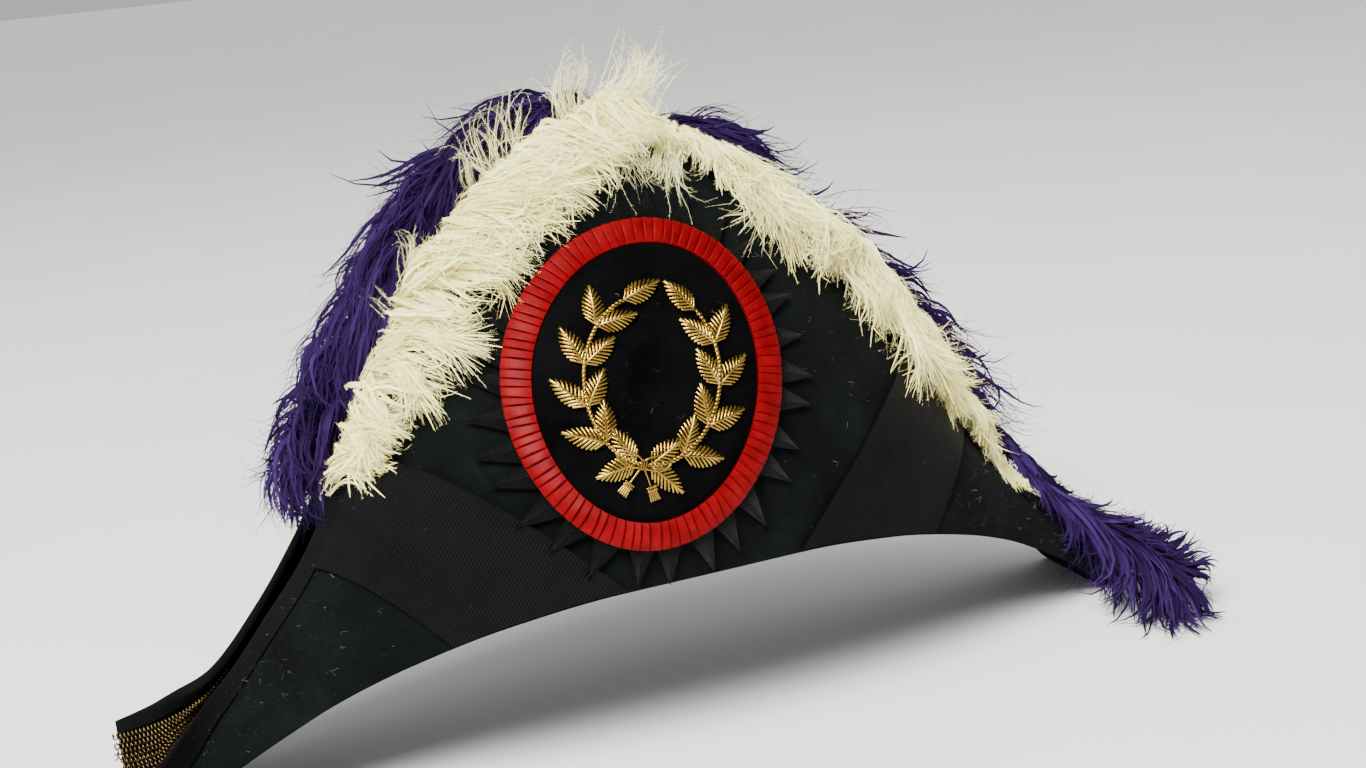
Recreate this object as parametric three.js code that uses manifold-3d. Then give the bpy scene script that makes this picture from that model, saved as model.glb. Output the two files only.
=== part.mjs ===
// A dress bicorne: a felt crown inside a felt brim that is turned up into two tall leaves.
// The brim's edges are bound, ribbons cross the near leaf, a rosette with an embroidered
// oval sits on it, ostrich plumes lie along both leaf edges and a bullion tassel fills each tip.
// Millimetres, +Z up. +X runs from tip to tip, the near leaf faces -Y.
import * as THREE from "three";
import { mergeVertices } from "three/addons/utils/BufferGeometryUtils.js";
import Module from "manifold-3d";

const wasm = await Module();
wasm.setup();

// Wall thicknesses and the clearance between neighbouring pieces
const FELT = 2.6;
const CROWN_FELT = 2.2;
const CLOTH = 1.0;
const GAP = 0.3;
const OVAL_GAP = 0.4;

// Half of the hat from the middle to a tip, one row for each section. The outer face of a leaf
// rises from the fold at (rimY, rimZ) to its edge at (topY, topZ), pulled outwards by bulge.
const SECTIONS = [
  { x: 0, rimY: 84, rimZ: 77, topY: 12, topZ: 243, bulge: 36 },
  { x: 40, rimY: 81.5, rimZ: 76, topY: 11.5, topZ: 230.5, bulge: 35 },
  { x: 80, rimY: 74.5, rimZ: 70.5, topY: 11.5, topZ: 192.5, bulge: 29 },
  { x: 120, rimY: 63, rimZ: 59, topY: 12.5, topZ: 136, bulge: 19 },
  { x: 145, rimY: 54.5, rimZ: 48.5, topY: 13, topZ: 94.5, bulge: 11 },
  { x: 165, rimY: 46.5, rimZ: 37, topY: 10, topZ: 69.5, bulge: 6 },
  { x: 185, rimY: 38, rimZ: 24, topY: 11, topZ: 48.2, bulge: 2 },
  { x: 205, rimY: 28, rimZ: 8.6, topY: 25, topZ: 34, bulge: 0 },
  { x: 213, rimY: 23.5, rimZ: 0, topY: 31, topZ: 28.5, bulge: 0 },
  { x: 227, rimY: 16, rimZ: 0, topY: 38, topZ: 21.5, bulge: 0 },
];
const TIP_X = SECTIONS.at(-1).x;
// Stations along half of the hat where the brim's wall is drawn; the last two bound the flat foot.
const STATIONS = [
  0, 20, 40, 60, 80, 100, 118, 134, 148, 160, 172, 182, 191, 198, 205, 213, TIP_X,
];
const ALL_STATIONS = [...STATIONS.slice(1).reverse().map((x) => -x), ...STATIONS];
const LEAF_STEPS = 5;
const NEAR = -1;
const FAR = 1;

// Crown: outer half sizes at its base, and its height above the middle of the rim
const CROWN = { halfLength: 103, halfWidth: 79.5, height: 101, roundness: 2.4, sides: 28, steps: 5 };

// Binding folded over each leaf edge: how far it reaches down the outer and the inner face
const BINDING = { outer: 11, inner: 5 };

// Ribbon on the near leaf, mirrored to both sides: where its edges leave the rim, and how far
// they move outwards for each millimetre up the leaf
const RIBBON = {
  innerStart: 35, outerStart: 101, innerLean: 0.98, outerLean: 0.78,
  lift: 0.6, startShare: 0.02, across: 6, along: 8,
};

// Rosette: centre on the near leaf, tilt, half sizes of its ovals, and heights above the leaf
const ROSETTE = {
  x: -14, up: 76, tilt: 18.5, lift: 2,
  ringOuter: [52.4, 63], ringInner: [42.2, 53], holeShare: 0.6,
  points: 30, pointReach: 14, pointLean: 0.18, valleyShare: 0.96,
  pleats: 38, foldShare: 0.86, pleatLow: 1.6, pleatHigh: 2.8,
  velvetHeight: 2.4, sides: 28,
};

// Wreath on the velvet: two leafy stems on an oval, tied with a bow at the bottom
const WREATH = {
  halfWidth: 25, halfHeight: 32, height: 2.2, startDeg: -84, endDeg: 58, stemWidth: 2.4, stemHeight: 1.5,
  leafPairs: 5, leafLength: 16, leafWidth: 8, leafSpreadDeg: 38, padShare: 0.4,
  bowLoop: 9, bowWidth: 4.2, bowAngle: 0.25, knotLength: 6, knotWidth: 3.4,
  cordLength: 8.5, cordWidth: 1.2, cordHeight: 1.3, cordAngle: 0.5,
  tasselLength: 5, tasselWidth: 4.4,
};

// Bullion tassel in each tip: strands on each leaf's inner face and across the bottom
const TASSEL = {
  fromX: 190, toX: 226, steps: 3, faceStrands: 6, bottomStrands: 4, faceDepth: 19, deepestShare: 0.98,
  lift: 0.8, sheet: 0.8, ridge: 1.7,
};

// White plumes over the near edge: how far the spine stands above the edge, and how far the locks
// hang down the leaf, square to its edge
const WHITE_LOCKS = [
  { x: -129, stand: 4.8, drop: 17 },
  { x: -110, stand: 4.8, drop: 28 },
  { x: -60, stand: 4.8, drop: 36 },
  { x: -20, stand: 4.8, drop: 28 },
  { x: 0, stand: 4.8, drop: 22 },
  { x: 30, stand: 4.8, drop: 22 },
  { x: 65, stand: 5.5, drop: 29 },
  { x: 100, stand: 7, drop: 24 },
  { x: 135, stand: 7.5, drop: 14 },
  { x: 172, stand: 5, drop: 7 },
];
// Purple plumes behind the far edge: how far the spine stands above the edge, and how far the locks
// stand out from the spine
const PURPLE_LOCKS = [
  { x: -146, stand: 4.8, crest: 21 },
  { x: -110, stand: 4.8, crest: 26 },
  { x: -60, stand: 4.8, crest: 29 },
  { x: -20, stand: 4.8, crest: 31 },
  { x: 15, stand: 3.9, crest: 26 },
  { x: 60, stand: 7.5, crest: 17 },
  { x: 110, stand: 10, crest: 16 },
  { x: 152, stand: 9.5, crest: 13 },
];
const PLUME = {
  spineRadius: 2.2, spineSides: 5, lockSpacing: 24, lockWidth: 27, apexGap: 15,
  whiteThickness: 8, whiteLift: 8, whiteRoll: 3, rollStart: 3, rollShare: 0.55, purpleThickness: 10,
};
// Way of a purple lock from the spine: share of its crest, and distance behind the far edge
const PURPLE_ROLL = [
  { up: 0, back: 0 },
  { up: 0.7, back: 4 },
  { up: 0.7, back: 18 },
  { up: -0.3, back: 30 },
];
// Free end of the right purple plume: its shaft leaves the far edge, crosses the tip and droops in
// front of it
const SHAFT = [
  { x: 164, y: 7, z: 80 },
  { x: 178, y: -3, z: 66 },
  { x: 192, y: -16, z: 55 },
  { x: 205, y: -36, z: 45 },
  { x: 214, y: -52, z: 33 },
  { x: 224, y: -63, z: 20 },
];
// Locks of that free end: share of the shaft where each leaves, and where it ends
const HEAD_LOCKS = [
  { share: 0.55, x: 212, y: -20, z: 56 },
  { share: 0.6, x: 190, y: -50, z: 30 },
  { share: 0.7, x: 236, y: -30, z: 34 },
  { share: 0.7, x: 190, y: -66, z: 14 },
  { share: 0.85, x: 254, y: -42, z: 18 },
  { share: 0.85, x: 196, y: -82, z: 4 },
  { share: 0.95, x: 256, y: -60, z: 5 },
  { share: 0.97, x: 214, y: -89, z: 4 },
  { share: 1.0, x: 238, y: -81, z: 4 },
];
const HEAD = { width: 16, thickness: 9, rise: 9 };

const COLOURS = {
  felt: 0x0d0e10, crown: 0x0b0b0d, ribbon: 0x17181b, red: 0xb3101c, velvet: 0x050506,
  gold: 0xa8812f, bullion: 0x8d6d2c, white: 0xece6cf, purple: 0x2f1a6b,
};

// A smooth column of a table that is read along x without overshooting its rows
function column(rows, name, flatStart) {
  const xs = rows.map((row) => row.x);
  const ys = rows.map((row) => row[name]);
  const last = xs.length - 1;
  const widths = xs.slice(1).map((x, i) => x - xs[i]);
  const slopes = widths.map((width, i) => (ys[i + 1] - ys[i]) / width);
  const tangents = xs.map((_, i) => {
    if (i === 0) return flatStart ? 0 : slopes[0];
    if (i === last) return slopes[last - 1];
    if (slopes[i - 1] * slopes[i] <= 0) return 0;
    const before = 2 * widths[i] + widths[i - 1];
    const after = widths[i] + 2 * widths[i - 1];
    return (before + after) / (before / slopes[i - 1] + after / slopes[i]);
  });
  return (x) => {
    const inside = THREE.MathUtils.clamp(x, xs[0], xs[last]);
    let i = 0;
    while (i < last - 1 && inside >= xs[i + 1]) i++;
    const w = widths[i];
    const t = (inside - xs[i]) / w;
    return (1 + 2 * t) * (1 - t) ** 2 * ys[i] + t * (1 - t) ** 2 * w * tangents[i]
      + t * t * (3 - 2 * t) * ys[i + 1] + t * t * (t - 1) * w * tangents[i + 1];
  };
}

const half = Object.fromEntries(
  ["rimY", "rimZ", "topY", "topZ", "bulge"].map((name) => [name, column(SECTIONS, name, true)]),
);
const across = (name, x) => half[name](Math.abs(x));

// Outer face of a leaf at x as a curve from rim to edge, in the plane of (distance from the middle, z)
function leafCurve(x) {
  const rim = new THREE.Vector2(across("rimY", x), across("rimZ", x));
  const top = new THREE.Vector2(across("topY", x), across("topZ", x));
  const along = top.clone().sub(rim).normalize();
  const outwards = new THREE.Vector2(along.y, -along.x);
  const pull = rim.clone().add(top).multiplyScalar(0.5).addScaledVector(outwards, across("bulge", x));
  return new THREE.QuadraticBezierCurve(rim, pull, top);
}

// Inner face of the same leaf: the curve's legs moved in by the felt, meeting the inner face of the bottom
function leafInnerCurve(x, depth = FELT) {
  const outer = leafCurve(x);
  const first = outer.v1.clone().sub(outer.v0).normalize();
  const second = outer.v2.clone().sub(outer.v1).normalize();
  const inFirst = new THREE.Vector2(-first.y, first.x);
  const inSecond = new THREE.Vector2(-second.y, second.x);
  const corner = inFirst.clone().add(inSecond).multiplyScalar(depth / (1 + inFirst.dot(inSecond)));
  const foot = new THREE.Vector2((depth * (first.x - 1)) / first.y, depth);
  return new THREE.QuadraticBezierCurve(
    outer.v0.clone().add(foot),
    outer.v1.clone().add(corner),
    outer.v2.clone().addScaledVector(inSecond, depth),
  );
}

// Point of a leaf's curve at a distance below its edge
const shareBelow = (curve, distance) => 1 - distance / curve.v0.distanceTo(curve.v2);
const belowEdge = (curve, distance) => curve.getPoint(shareBelow(curve, distance));

const slant = (x) => leafCurve(x).v0.distanceTo(leafCurve(x).v2);

function onCurve(x, t, side) {
  const p = leafCurve(x).getPoint(THREE.MathUtils.clamp(t, 0, 1));
  return new THREE.Vector3(x, side * p.x, p.y);
}

// Point at a height above a leaf's outer face; up is the distance from the rim along the leaf.
function onLeaf(x, up, side, height = 0) {
  const dx = 0.5;
  const dt = 0.01;
  const t = THREE.MathUtils.clamp(up / slant(x), dt, 1);
  const alongX = onCurve(x + dx, t, side).sub(onCurve(x - dx, t, side));
  const alongT = onCurve(x, t, side).sub(onCurve(x, t - dt, side));
  const outwards = alongX.cross(alongT).normalize().multiplyScalar(-side);
  return onCurve(x, t, side).addScaledVector(outwards, height);
}

// Direction along a leaf's edge, and the upright direction that is square to it
function edgeFrame(x, side) {
  const dx = 1;
  const along = onCurve(x + dx, 1, side).sub(onCurve(x - dx, 1, side)).normalize();
  const upwards = along.clone().cross(new THREE.Vector3(0, 1, 0)).normalize();
  return { along, upwards };
}

// Geometry from points and triangles, turned so that its faces point out
function geometryOf(points, triangles) {
  const volume = triangles.reduce((sum, _, i) => {
    if (i % 3) return sum;
    const [a, b, c] = [points[triangles[i]], points[triangles[i + 1]], points[triangles[i + 2]]];
    return sum + a.dot(b.clone().cross(c)) / 6;
  }, 0);
  const index = volume < 0 ? [...triangles].reverse() : triangles;
  const geometry = new THREE.BufferGeometry().setFromPoints(points);
  geometry.setIndex(index);
  return geometry;
}

// Closed wall between two grids of the same size; the columns run round a ring where ring is true.
function wall(outer, inner, ring = false) {
  const rows = outer.length;
  const cols = outer[0].length;
  const points = [...outer.flat(), ...inner.flat()];
  const at = (layer, i, j) => (layer * rows + i) * cols + (j % cols);
  const triangles = [];
  const quad = (a, b, c, d) => {
    const firstIsShorter = points[a].distanceTo(points[c]) < points[b].distanceTo(points[d]);
    triangles.push(...(firstIsShorter ? [a, b, c, a, c, d] : [a, b, d, b, c, d]));
  };
  const spans = ring ? cols : cols - 1;
  for (let j = 0; j < spans; j++) {
    for (let i = 0; i < rows - 1; i++) {
      quad(at(0, i, j), at(0, i + 1, j), at(0, i + 1, j + 1), at(0, i, j + 1));
      quad(at(1, i, j), at(1, i, j + 1), at(1, i + 1, j + 1), at(1, i + 1, j));
    }
    quad(at(0, 0, j), at(0, 0, j + 1), at(1, 0, j + 1), at(1, 0, j));
    quad(at(0, rows - 1, j), at(1, rows - 1, j), at(1, rows - 1, j + 1), at(0, rows - 1, j + 1));
  }
  for (let i = 0; i < rows - 1 && !ring; i++) {
    quad(at(0, i, 0), at(1, i, 0), at(1, i + 1, 0), at(0, i + 1, 0));
    quad(at(0, i, cols - 1), at(0, i + 1, cols - 1), at(1, i + 1, cols - 1), at(1, i, cols - 1));
  }
  return geometryOf(points, triangles);
}

// Closed solid through convex loops of points
function loft(loops) {
  const sides = loops[0].length;
  const triangles = [];
  const last = (loops.length - 1) * sides;
  for (let i = 0; i < loops.length - 1; i++) {
    for (let j = 0; j < sides; j++) {
      const next = (j + 1) % sides;
      const [a, b, c, d] = [i * sides + j, i * sides + next, (i + 1) * sides + next, (i + 1) * sides + j];
      triangles.push(a, b, c, a, c, d);
    }
  }
  for (let j = 1; j < sides - 1; j++) {
    triangles.push(0, j + 1, j, last, last + j, last + j + 1);
  }
  return geometryOf(loops.flat(), triangles);
}

// Tapering solid along a curve; width lies along the given direction, taper gives the size at each step.
function lockAlong(curve, widthDirection, width, thickness, taper) {
  const loops = taper.map((share, i) => {
    const t = i / (taper.length - 1);
    const centre = curve.getPoint(t);
    const forward = curve.getTangent(t);
    const sideways = widthDirection.clone().projectOnPlane(forward).normalize();
    const upwards = forward.clone().cross(sideways);
    const w = (share * width) / 2;
    const h = (share * thickness) / 2;
    return [[w, 0], [0, h], [-w, 0], [0, -h]].map(([a, b]) => (
      centre.clone().addScaledVector(sideways, a).addScaledVector(upwards, b)));
  });
  return loft(loops);
}

// Round rod along a list of points
function rod(points, radius, sides) {
  const curve = new THREE.CatmullRomCurve3(points);
  const upwards = new THREE.Vector3(0, 0.6, 0.8);
  return loft(points.map((_, i) => {
    const t = i / (points.length - 1);
    const forward = curve.getTangent(t);
    const first = upwards.clone().cross(forward).normalize();
    const second = forward.clone().cross(first);
    const centre = curve.getPoint(t);
    return Array.from({ length: sides }, (_unused, k) => {
      const angle = (2 * Math.PI * k) / sides;
      return centre.clone().addScaledVector(first, radius * Math.cos(angle))
        .addScaledVector(second, radius * Math.sin(angle));
    });
  }));
}

// Solids for joining and cutting, and their way back to geometry
function solidOf(geometry) {
  const bare = geometry.clone();
  bare.deleteAttribute("normal");
  bare.deleteAttribute("uv");
  const merged = mergeVertices(bare, 1e-4);
  const kept = [];
  for (let i = 0; i < merged.index.count; i += 3) {
    const [a, b, c] = [0, 1, 2].map((k) => merged.index.getX(i + k));
    if (a !== b && b !== c && c !== a) kept.push(a, b, c);
  }
  return new wasm.Manifold(new wasm.Mesh({
    numProp: 3, vertProperties: merged.attributes.position.array, triVerts: new Uint32Array(kept),
  }));
}

function fromSolid(solid) {
  const { vertProperties, triVerts } = solid.getMesh();
  const geometry = new THREE.BufferGeometry();
  geometry.setAttribute("position", new THREE.BufferAttribute(vertProperties, 3));
  geometry.setIndex(new THREE.BufferAttribute(triVerts, 1));
  return geometry;
}

// Joined solids; the pockets that close up between neighbouring locks are filled.
function fused(geometries) {
  const joined = geometries.map(solidOf).reduce((sum, next) => sum.add(next));
  return fromSolid(joined.decompose().sort((a, b) => b.volume() - a.volume())[0]);
}

const cut = (geometry, tool) => fromSolid(solidOf(geometry).subtract(solidOf(tool)));

const hat = new THREE.Group();

function place(name, geometry, colour, roughness, metalness = 0) {
  geometry.computeVertexNormals();
  const material = new THREE.MeshStandardMaterial({ color: colour, roughness, metalness });
  const mesh = new THREE.Mesh(geometry, material);
  mesh.name = name;
  hat.add(mesh);
}

// Brim: both leaves and the bottom between them as one felt wall, with the head opening cut out
function brim() {
  const bottomShares = [-0.5, 0, 0.5];
  const row = (x, curve, boundWidth) => {
    const bound = shareBelow(curve, boundWidth);
    const rest = Array.from({ length: LEAF_STEPS }, (_, i) => bound * (1 - i / (LEAF_STEPS - 1)));
    const leaf = [1, ...rest].map((t) => curve.getPoint(t));
    const bottom = bottomShares.map((share) => new THREE.Vector3(x, share * curve.v0.x, curve.v0.y));
    const near = leaf.map((p) => new THREE.Vector3(x, NEAR * p.x, p.y));
    const far = leaf.reverse().map((p) => new THREE.Vector3(x, FAR * p.x, p.y));
    return [...near, ...bottom, ...far];
  };
  const shell = wall(
    ALL_STATIONS.map((x) => row(x, leafCurve(x), BINDING.outer)),
    ALL_STATIONS.map((x) => row(x, leafInnerCurve(x), BINDING.inner)),
  );
  const opening = new THREE.Shape();
  opening.absellipse(0, 0, CROWN.halfLength + OVAL_GAP, CROWN.halfWidth + OVAL_GAP, 0, 2 * Math.PI);
  const depth = 40;
  const below = 10;
  const cutter = new THREE.ExtrudeGeometry(opening, {
    depth, bevelEnabled: false, curveSegments: CROWN.sides / 2,
  });
  cutter.translate(0, 0, across("rimZ", CROWN.halfLength) - below);
  return cut(shell, cutter);
}

// Crown: a hollow dome on an oval base that follows the brim's arch
function crown() {
  const power = 2 / CROWN.roundness;
  const arc = (radius, height, t) => {
    const angle = (t * Math.PI) / 2;
    return new THREE.Vector2(radius * Math.cos(angle) ** power, height * Math.sin(angle) ** power);
  };
  const shares = Array.from({ length: CROWN.steps + 1 }, (_, i) => i / CROWN.steps);
  const outer = shares.map((t) => arc(CROWN.halfWidth, CROWN.height, t));
  const inner = shares.map((t) => arc(CROWN.halfWidth - CROWN_FELT, CROWN.height - CROWN_FELT, t));
  outer.at(-1).x = 0;
  inner.at(-1).x = 0;
  const profile = [...outer, ...inner.reverse(), outer[0]];
  const dome = new THREE.LatheGeometry(profile, CROWN.sides).rotateX(Math.PI / 2);
  const middleRim = across("rimZ", 0);
  const position = dome.attributes.position;
  for (let i = 0; i < position.count; i++) {
    const x = (position.getX(i) * CROWN.halfLength) / CROWN.halfWidth;
    const up = position.getZ(i);
    const arch = (across("rimZ", x) - middleRim) * (1 - up / CROWN.height);
    position.setXYZ(i, x, position.getY(i), middleRim + up + arch);
  }
  return fromSolid(solidOf(dome));
}

// Binding: a folded strip over a leaf's edge, from tip to tip
function binding(side) {
  const layer = (height) => ALL_STATIONS.map((x) => {
    const outer = leafCurve(x);
    const inner = leafInnerCurve(x);
    const low = belowEdge(outer, BINDING.outer);
    const innerLow = belowEdge(inner, BINDING.inner);
    const upwards = outer.v2.clone().sub(low).normalize();
    const away = new THREE.Vector2(upwards.y, -upwards.x);
    low.addScaledVector(away, height);
    innerLow.addScaledVector(away, -height);
    const crest = outer.v2.clone().addScaledVector(away, height).addScaledVector(upwards, height);
    const back = inner.v2.clone().addScaledVector(away, -height).addScaledVector(upwards, height);
    return [low, crest, back, innerLow].map((p) => new THREE.Vector3(x, side * p.x, p.y));
  });
  return wall(layer(GAP + CLOTH), layer(GAP));
}

// Ribbon: a band up the near leaf from the rim to the binding; side is -1 on the left and 1 on the right.
function ribbon(side) {
  // Distance up the leaf where a line of the ribbon meets the binding, found by steps that settle there
  const lineEnd = (start, lean) => {
    const stepShare = 0.3;
    let end = 0;
    for (let step = 0; step < 40; step++) {
      end += stepShare * (slant(start + lean * end) - BINDING.outer - 4 * GAP - end);
    }
    return end;
  };
  const bandPoint = (v, w, height) => {
    const start = THREE.MathUtils.lerp(RIBBON.innerStart, RIBBON.outerStart, v);
    const lean = THREE.MathUtils.lerp(RIBBON.innerLean, RIBBON.outerLean, v);
    const up = Math.max(w, RIBBON.startShare) * lineEnd(start, lean);
    return onLeaf(side * (start + lean * up), up, NEAR, height);
  };
  const grid = (height) => Array.from({ length: RIBBON.along + 1 }, (_, i) => (
    Array.from({ length: RIBBON.across + 1 }, (_unused, j) => (
      bandPoint(j / RIBBON.across, i / RIBBON.along, height)))));
  return wall(grid(RIBBON.lift + CLOTH), grid(RIBBON.lift));
}

// A point of the rosette: p to the right and q up in its own tilted plane, laid on the near leaf
function onRosette(p, q, height) {
  const tilt = THREE.MathUtils.degToRad(ROSETTE.tilt);
  const x = ROSETTE.x + p * Math.cos(tilt) + q * Math.sin(tilt);
  const rimDrop = across("rimZ", ROSETTE.x) - across("rimZ", x);
  const up = ROSETTE.up - p * Math.sin(tilt) + q * Math.cos(tilt) + rimDrop;
  return onLeaf(x, up, NEAR, height);
}

const POINTS_TOP = ROSETTE.lift + CLOTH;
const RING_BASE = POINTS_TOP + 3 * GAP;
const VELVET_TOP = RING_BASE + ROSETTE.velvetHeight;

// Rosette points: a ring of ribbon folded into a star of points behind the pleats
function rosettePoints() {
  const [a, b] = ROSETTE.ringOuter;
  const cols = 2 * ROSETTE.points;
  const row = (share, height) => Array.from({ length: cols }, (_, j) => {
    const angle = (2 * Math.PI * j) / cols;
    return onRosette(share * a * Math.cos(angle), share * b * Math.sin(angle), height);
  });
  const star = (height) => Array.from({ length: cols }, (_, j) => {
    const isPoint = j % 2;
    const angle = (2 * Math.PI * (j + (isPoint ? ROSETTE.pointLean : 0))) / cols;
    const reach = isPoint ? ROSETTE.pointReach : 0;
    return onRosette((a + reach) * Math.cos(angle), (b + reach) * Math.sin(angle), height);
  });
  const layer = (height) => [row(ROSETTE.holeShare, height), row(ROSETTE.valleyShare, height), star(height)];
  return wall(layer(POINTS_TOP), layer(ROSETTE.lift), true);
}

// Rosette pleats: a ring of ribbon laid in knife pleats, each rising to its fold and dropping behind it
function rosettePleats() {
  const cols = 2 * ROSETTE.pleats;
  const oval = ([a, b], heightAt) => Array.from({ length: cols }, (_, j) => {
    const fold = Math.floor(j / 2) + (j % 2 ? ROSETTE.foldShare : 0);
    const angle = (2 * Math.PI * fold) / ROSETTE.pleats;
    return onRosette(a * Math.cos(angle), b * Math.sin(angle), heightAt(j % 2));
  });
  const top = (isFold) => RING_BASE + (isFold ? ROSETTE.pleatHigh : ROSETTE.pleatLow);
  const base = () => RING_BASE;
  return wall(
    [oval(ROSETTE.ringInner, top), oval(ROSETTE.ringOuter, top)],
    [oval(ROSETTE.ringInner, base), oval(ROSETTE.ringOuter, base)], true,
  );
}

// Rosette oval: a padded velvet disc inside the pleats
function rosetteOval() {
  const [a, b] = ROSETTE.ringInner.map((size) => size - OVAL_GAP);
  const middle = ROSETTE.holeShare;
  // Shares of the radius and of the height, from the middle of the base to the middle of the top
  const profile = [[0, 0], [middle, 0], [1, 0], [1, 0.7], [0.97, 1], [middle, 1], [0, 1]];
  const disc = new THREE.LatheGeometry(
    profile.map(([r, h]) => new THREE.Vector2(r, h * ROSETTE.velvetHeight)), ROSETTE.sides,
  ).rotateX(Math.PI / 2);
  const position = disc.attributes.position;
  for (let i = 0; i < position.count; i++) {
    const p = onRosette(a * position.getX(i), b * position.getY(i), RING_BASE + position.getZ(i));
    position.setXYZ(i, p.x, p.y, p.z);
  }
  return fromSolid(solidOf(disc));
}

// A flat padded shape on the velvet: an outline in the rosette's plane with a raised middle
function padded(outline, height) {
  const base = VELVET_TOP + GAP;
  const centre = outline.reduce((sum, p) => sum.add(p), new THREE.Vector2()).divideScalar(outline.length);
  const shrunk = outline.map((p) => p.clone().lerp(centre, WREATH.padShare));
  return loft([
    outline.map((p) => onRosette(p.x, p.y, base)),
    shrunk.map((p) => onRosette(p.x, p.y, base + height)),
  ]);
}

// A leaf-shaped or round-ended outline from a start point along a direction
function blade(start, angle, length, width, shares) {
  const along = new THREE.Vector2(Math.cos(angle), Math.sin(angle));
  const sideways = new THREE.Vector2(-along.y, along.x);
  const edge = (sign) => shares.map(([t, w]) => (
    start.clone().addScaledVector(along, t * length).addScaledVector(sideways, (sign * w * width) / 2)));
  return [...edge(1), ...edge(-1).reverse()];
}

// A narrow bar along a list of points in the rosette's plane
function stemAlong(points, width, height) {
  const base = VELVET_TOP + GAP;
  return loft(points.map((p, i) => {
    const before = points[Math.max(i - 1, 0)];
    const after = points[Math.min(i + 1, points.length - 1)];
    const forward = after.clone().sub(before).normalize();
    const sideways = new THREE.Vector2(-forward.y, forward.x).multiplyScalar(width / 2);
    const left = p.clone().add(sideways);
    const right = p.clone().sub(sideways);
    const ridge = onRosette(p.x, p.y, base + height);
    return [onRosette(left.x, left.y, base), onRosette(right.x, right.y, base), ridge];
  }));
}

// Wreath: two stems with paired leaves, a bow where they meet and two short tasselled cords
function wreath() {
  const pieces = [];
  const leafShares = [[0, 0.12], [0.5, 1], [1, 0.08]];
  const barShares = [[0, 1], [1, 1]];
  const tasselShares = [[0, 0.6], [1, 1]];
  const spread = THREE.MathUtils.degToRad(WREATH.leafSpreadDeg);
  const onOval = (mirror, degrees) => {
    const angle = THREE.MathUtils.degToRad(degrees);
    const x = mirror * WREATH.halfWidth * Math.cos(angle);
    return new THREE.Vector2(x, WREATH.halfHeight * Math.sin(angle));
  };
  for (const mirror of [-1, 1]) {
    const step = (WREATH.endDeg - WREATH.startDeg) / WREATH.leafPairs;
    const stem = Array.from({ length: WREATH.leafPairs + 1 }, (_, i) => (
      onOval(mirror, WREATH.startDeg + i * step)));
    const way = (i) => onOval(mirror, WREATH.startDeg + i * step + 1).sub(stem[i]).angle();
    pieces.push(stemAlong(stem, WREATH.stemWidth, WREATH.stemHeight));
    stem.forEach((from, i) => {
      const turns = i === WREATH.leafPairs ? [0] : [-spread, spread];
      for (const turn of turns) {
        const outline = blade(from, way(i) + turn, WREATH.leafLength, WREATH.leafWidth, leafShares);
        pieces.push(padded(outline, WREATH.height));
      }
    });
    const knot = new THREE.Vector2(0, -WREATH.halfHeight);
    const loopAngle = mirror > 0 ? WREATH.bowAngle : Math.PI - WREATH.bowAngle;
    const loop = blade(knot, loopAngle, WREATH.bowLoop, WREATH.bowWidth, leafShares);
    pieces.push(padded(loop, WREATH.height));
    const cordAngle = -Math.PI / 2 + mirror * WREATH.cordAngle;
    const cord = blade(knot, cordAngle, WREATH.cordLength, WREATH.cordWidth, barShares);
    pieces.push(padded(cord, WREATH.cordHeight));
    const cordWay = new THREE.Vector2(Math.cos(cordAngle), Math.sin(cordAngle));
    const tasselStart = knot.clone().addScaledVector(cordWay, WREATH.cordLength - CLOTH / 2);
    const tassel = blade(tasselStart, cordAngle, WREATH.tasselLength, WREATH.tasselWidth, tasselShares);
    pieces.push(padded(tassel, WREATH.height));
  }
  const knotStart = new THREE.Vector2(-WREATH.knotLength / 2, -WREATH.halfHeight);
  const tie = blade(knotStart, 0, WREATH.knotLength, WREATH.knotWidth, barShares);
  pieces.push(padded(tie, WREATH.height));
  return fused(pieces);
}

// Tip tassel: bullion strands side by side, from one leaf's inner face across the tip to the other's
function tipTassel(end) {
  const strands = 2 * TASSEL.faceStrands + TASSEL.bottomStrands;
  const below = BINDING.inner + 2 * GAP;
  const pathAt = (x, depth) => {
    const inner = leafInnerCurve(x, FELT + TASSEL.lift + depth);
    const long = inner.v0.distanceTo(inner.v2);
    const faceShare = Math.min((below + TASSEL.faceDepth) / long, TASSEL.deepestShare);
    const face = Array.from({ length: 2 * TASSEL.faceStrands + 1 }, (_, i) => (
      inner.getPoint(1 - THREE.MathUtils.lerp(below / long, faceShare, i / (2 * TASSEL.faceStrands)))));
    const low = face.at(-1);
    const spans = 2 * TASSEL.bottomStrands;
    const bottom = Array.from({ length: spans - 1 }, (_, i) => (
      new THREE.Vector2(THREE.MathUtils.lerp(low.x, -low.x, (i + 1) / spans), low.y)));
    const mirrored = face.map((p) => new THREE.Vector2(-p.x, p.y)).reverse();
    return [...face, ...bottom, ...mirrored];
  };
  const stations = Array.from({ length: TASSEL.steps + 1 }, (_, i) => (
    THREE.MathUtils.lerp(TASSEL.fromX, TASSEL.toX, i / TASSEL.steps)));
  const sheet = stations.map((x) => pathAt(x, 0).map((p) => new THREE.Vector3(end * x, p.x, p.y)));
  const ridges = stations.map((x) => {
    const low = pathAt(x, TASSEL.sheet);
    const high = pathAt(x, TASSEL.sheet + TASSEL.ridge);
    return low.map((p, j) => (j % 2 ? high[j] : p)).map((p) => new THREE.Vector3(end * x, p.x, p.y));
  });
  if (strands * 2 + 1 !== sheet[0].length) throw new Error("the tassel's strands don't fill its sheet");
  return wall(ridges, sheet);
}

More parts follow.
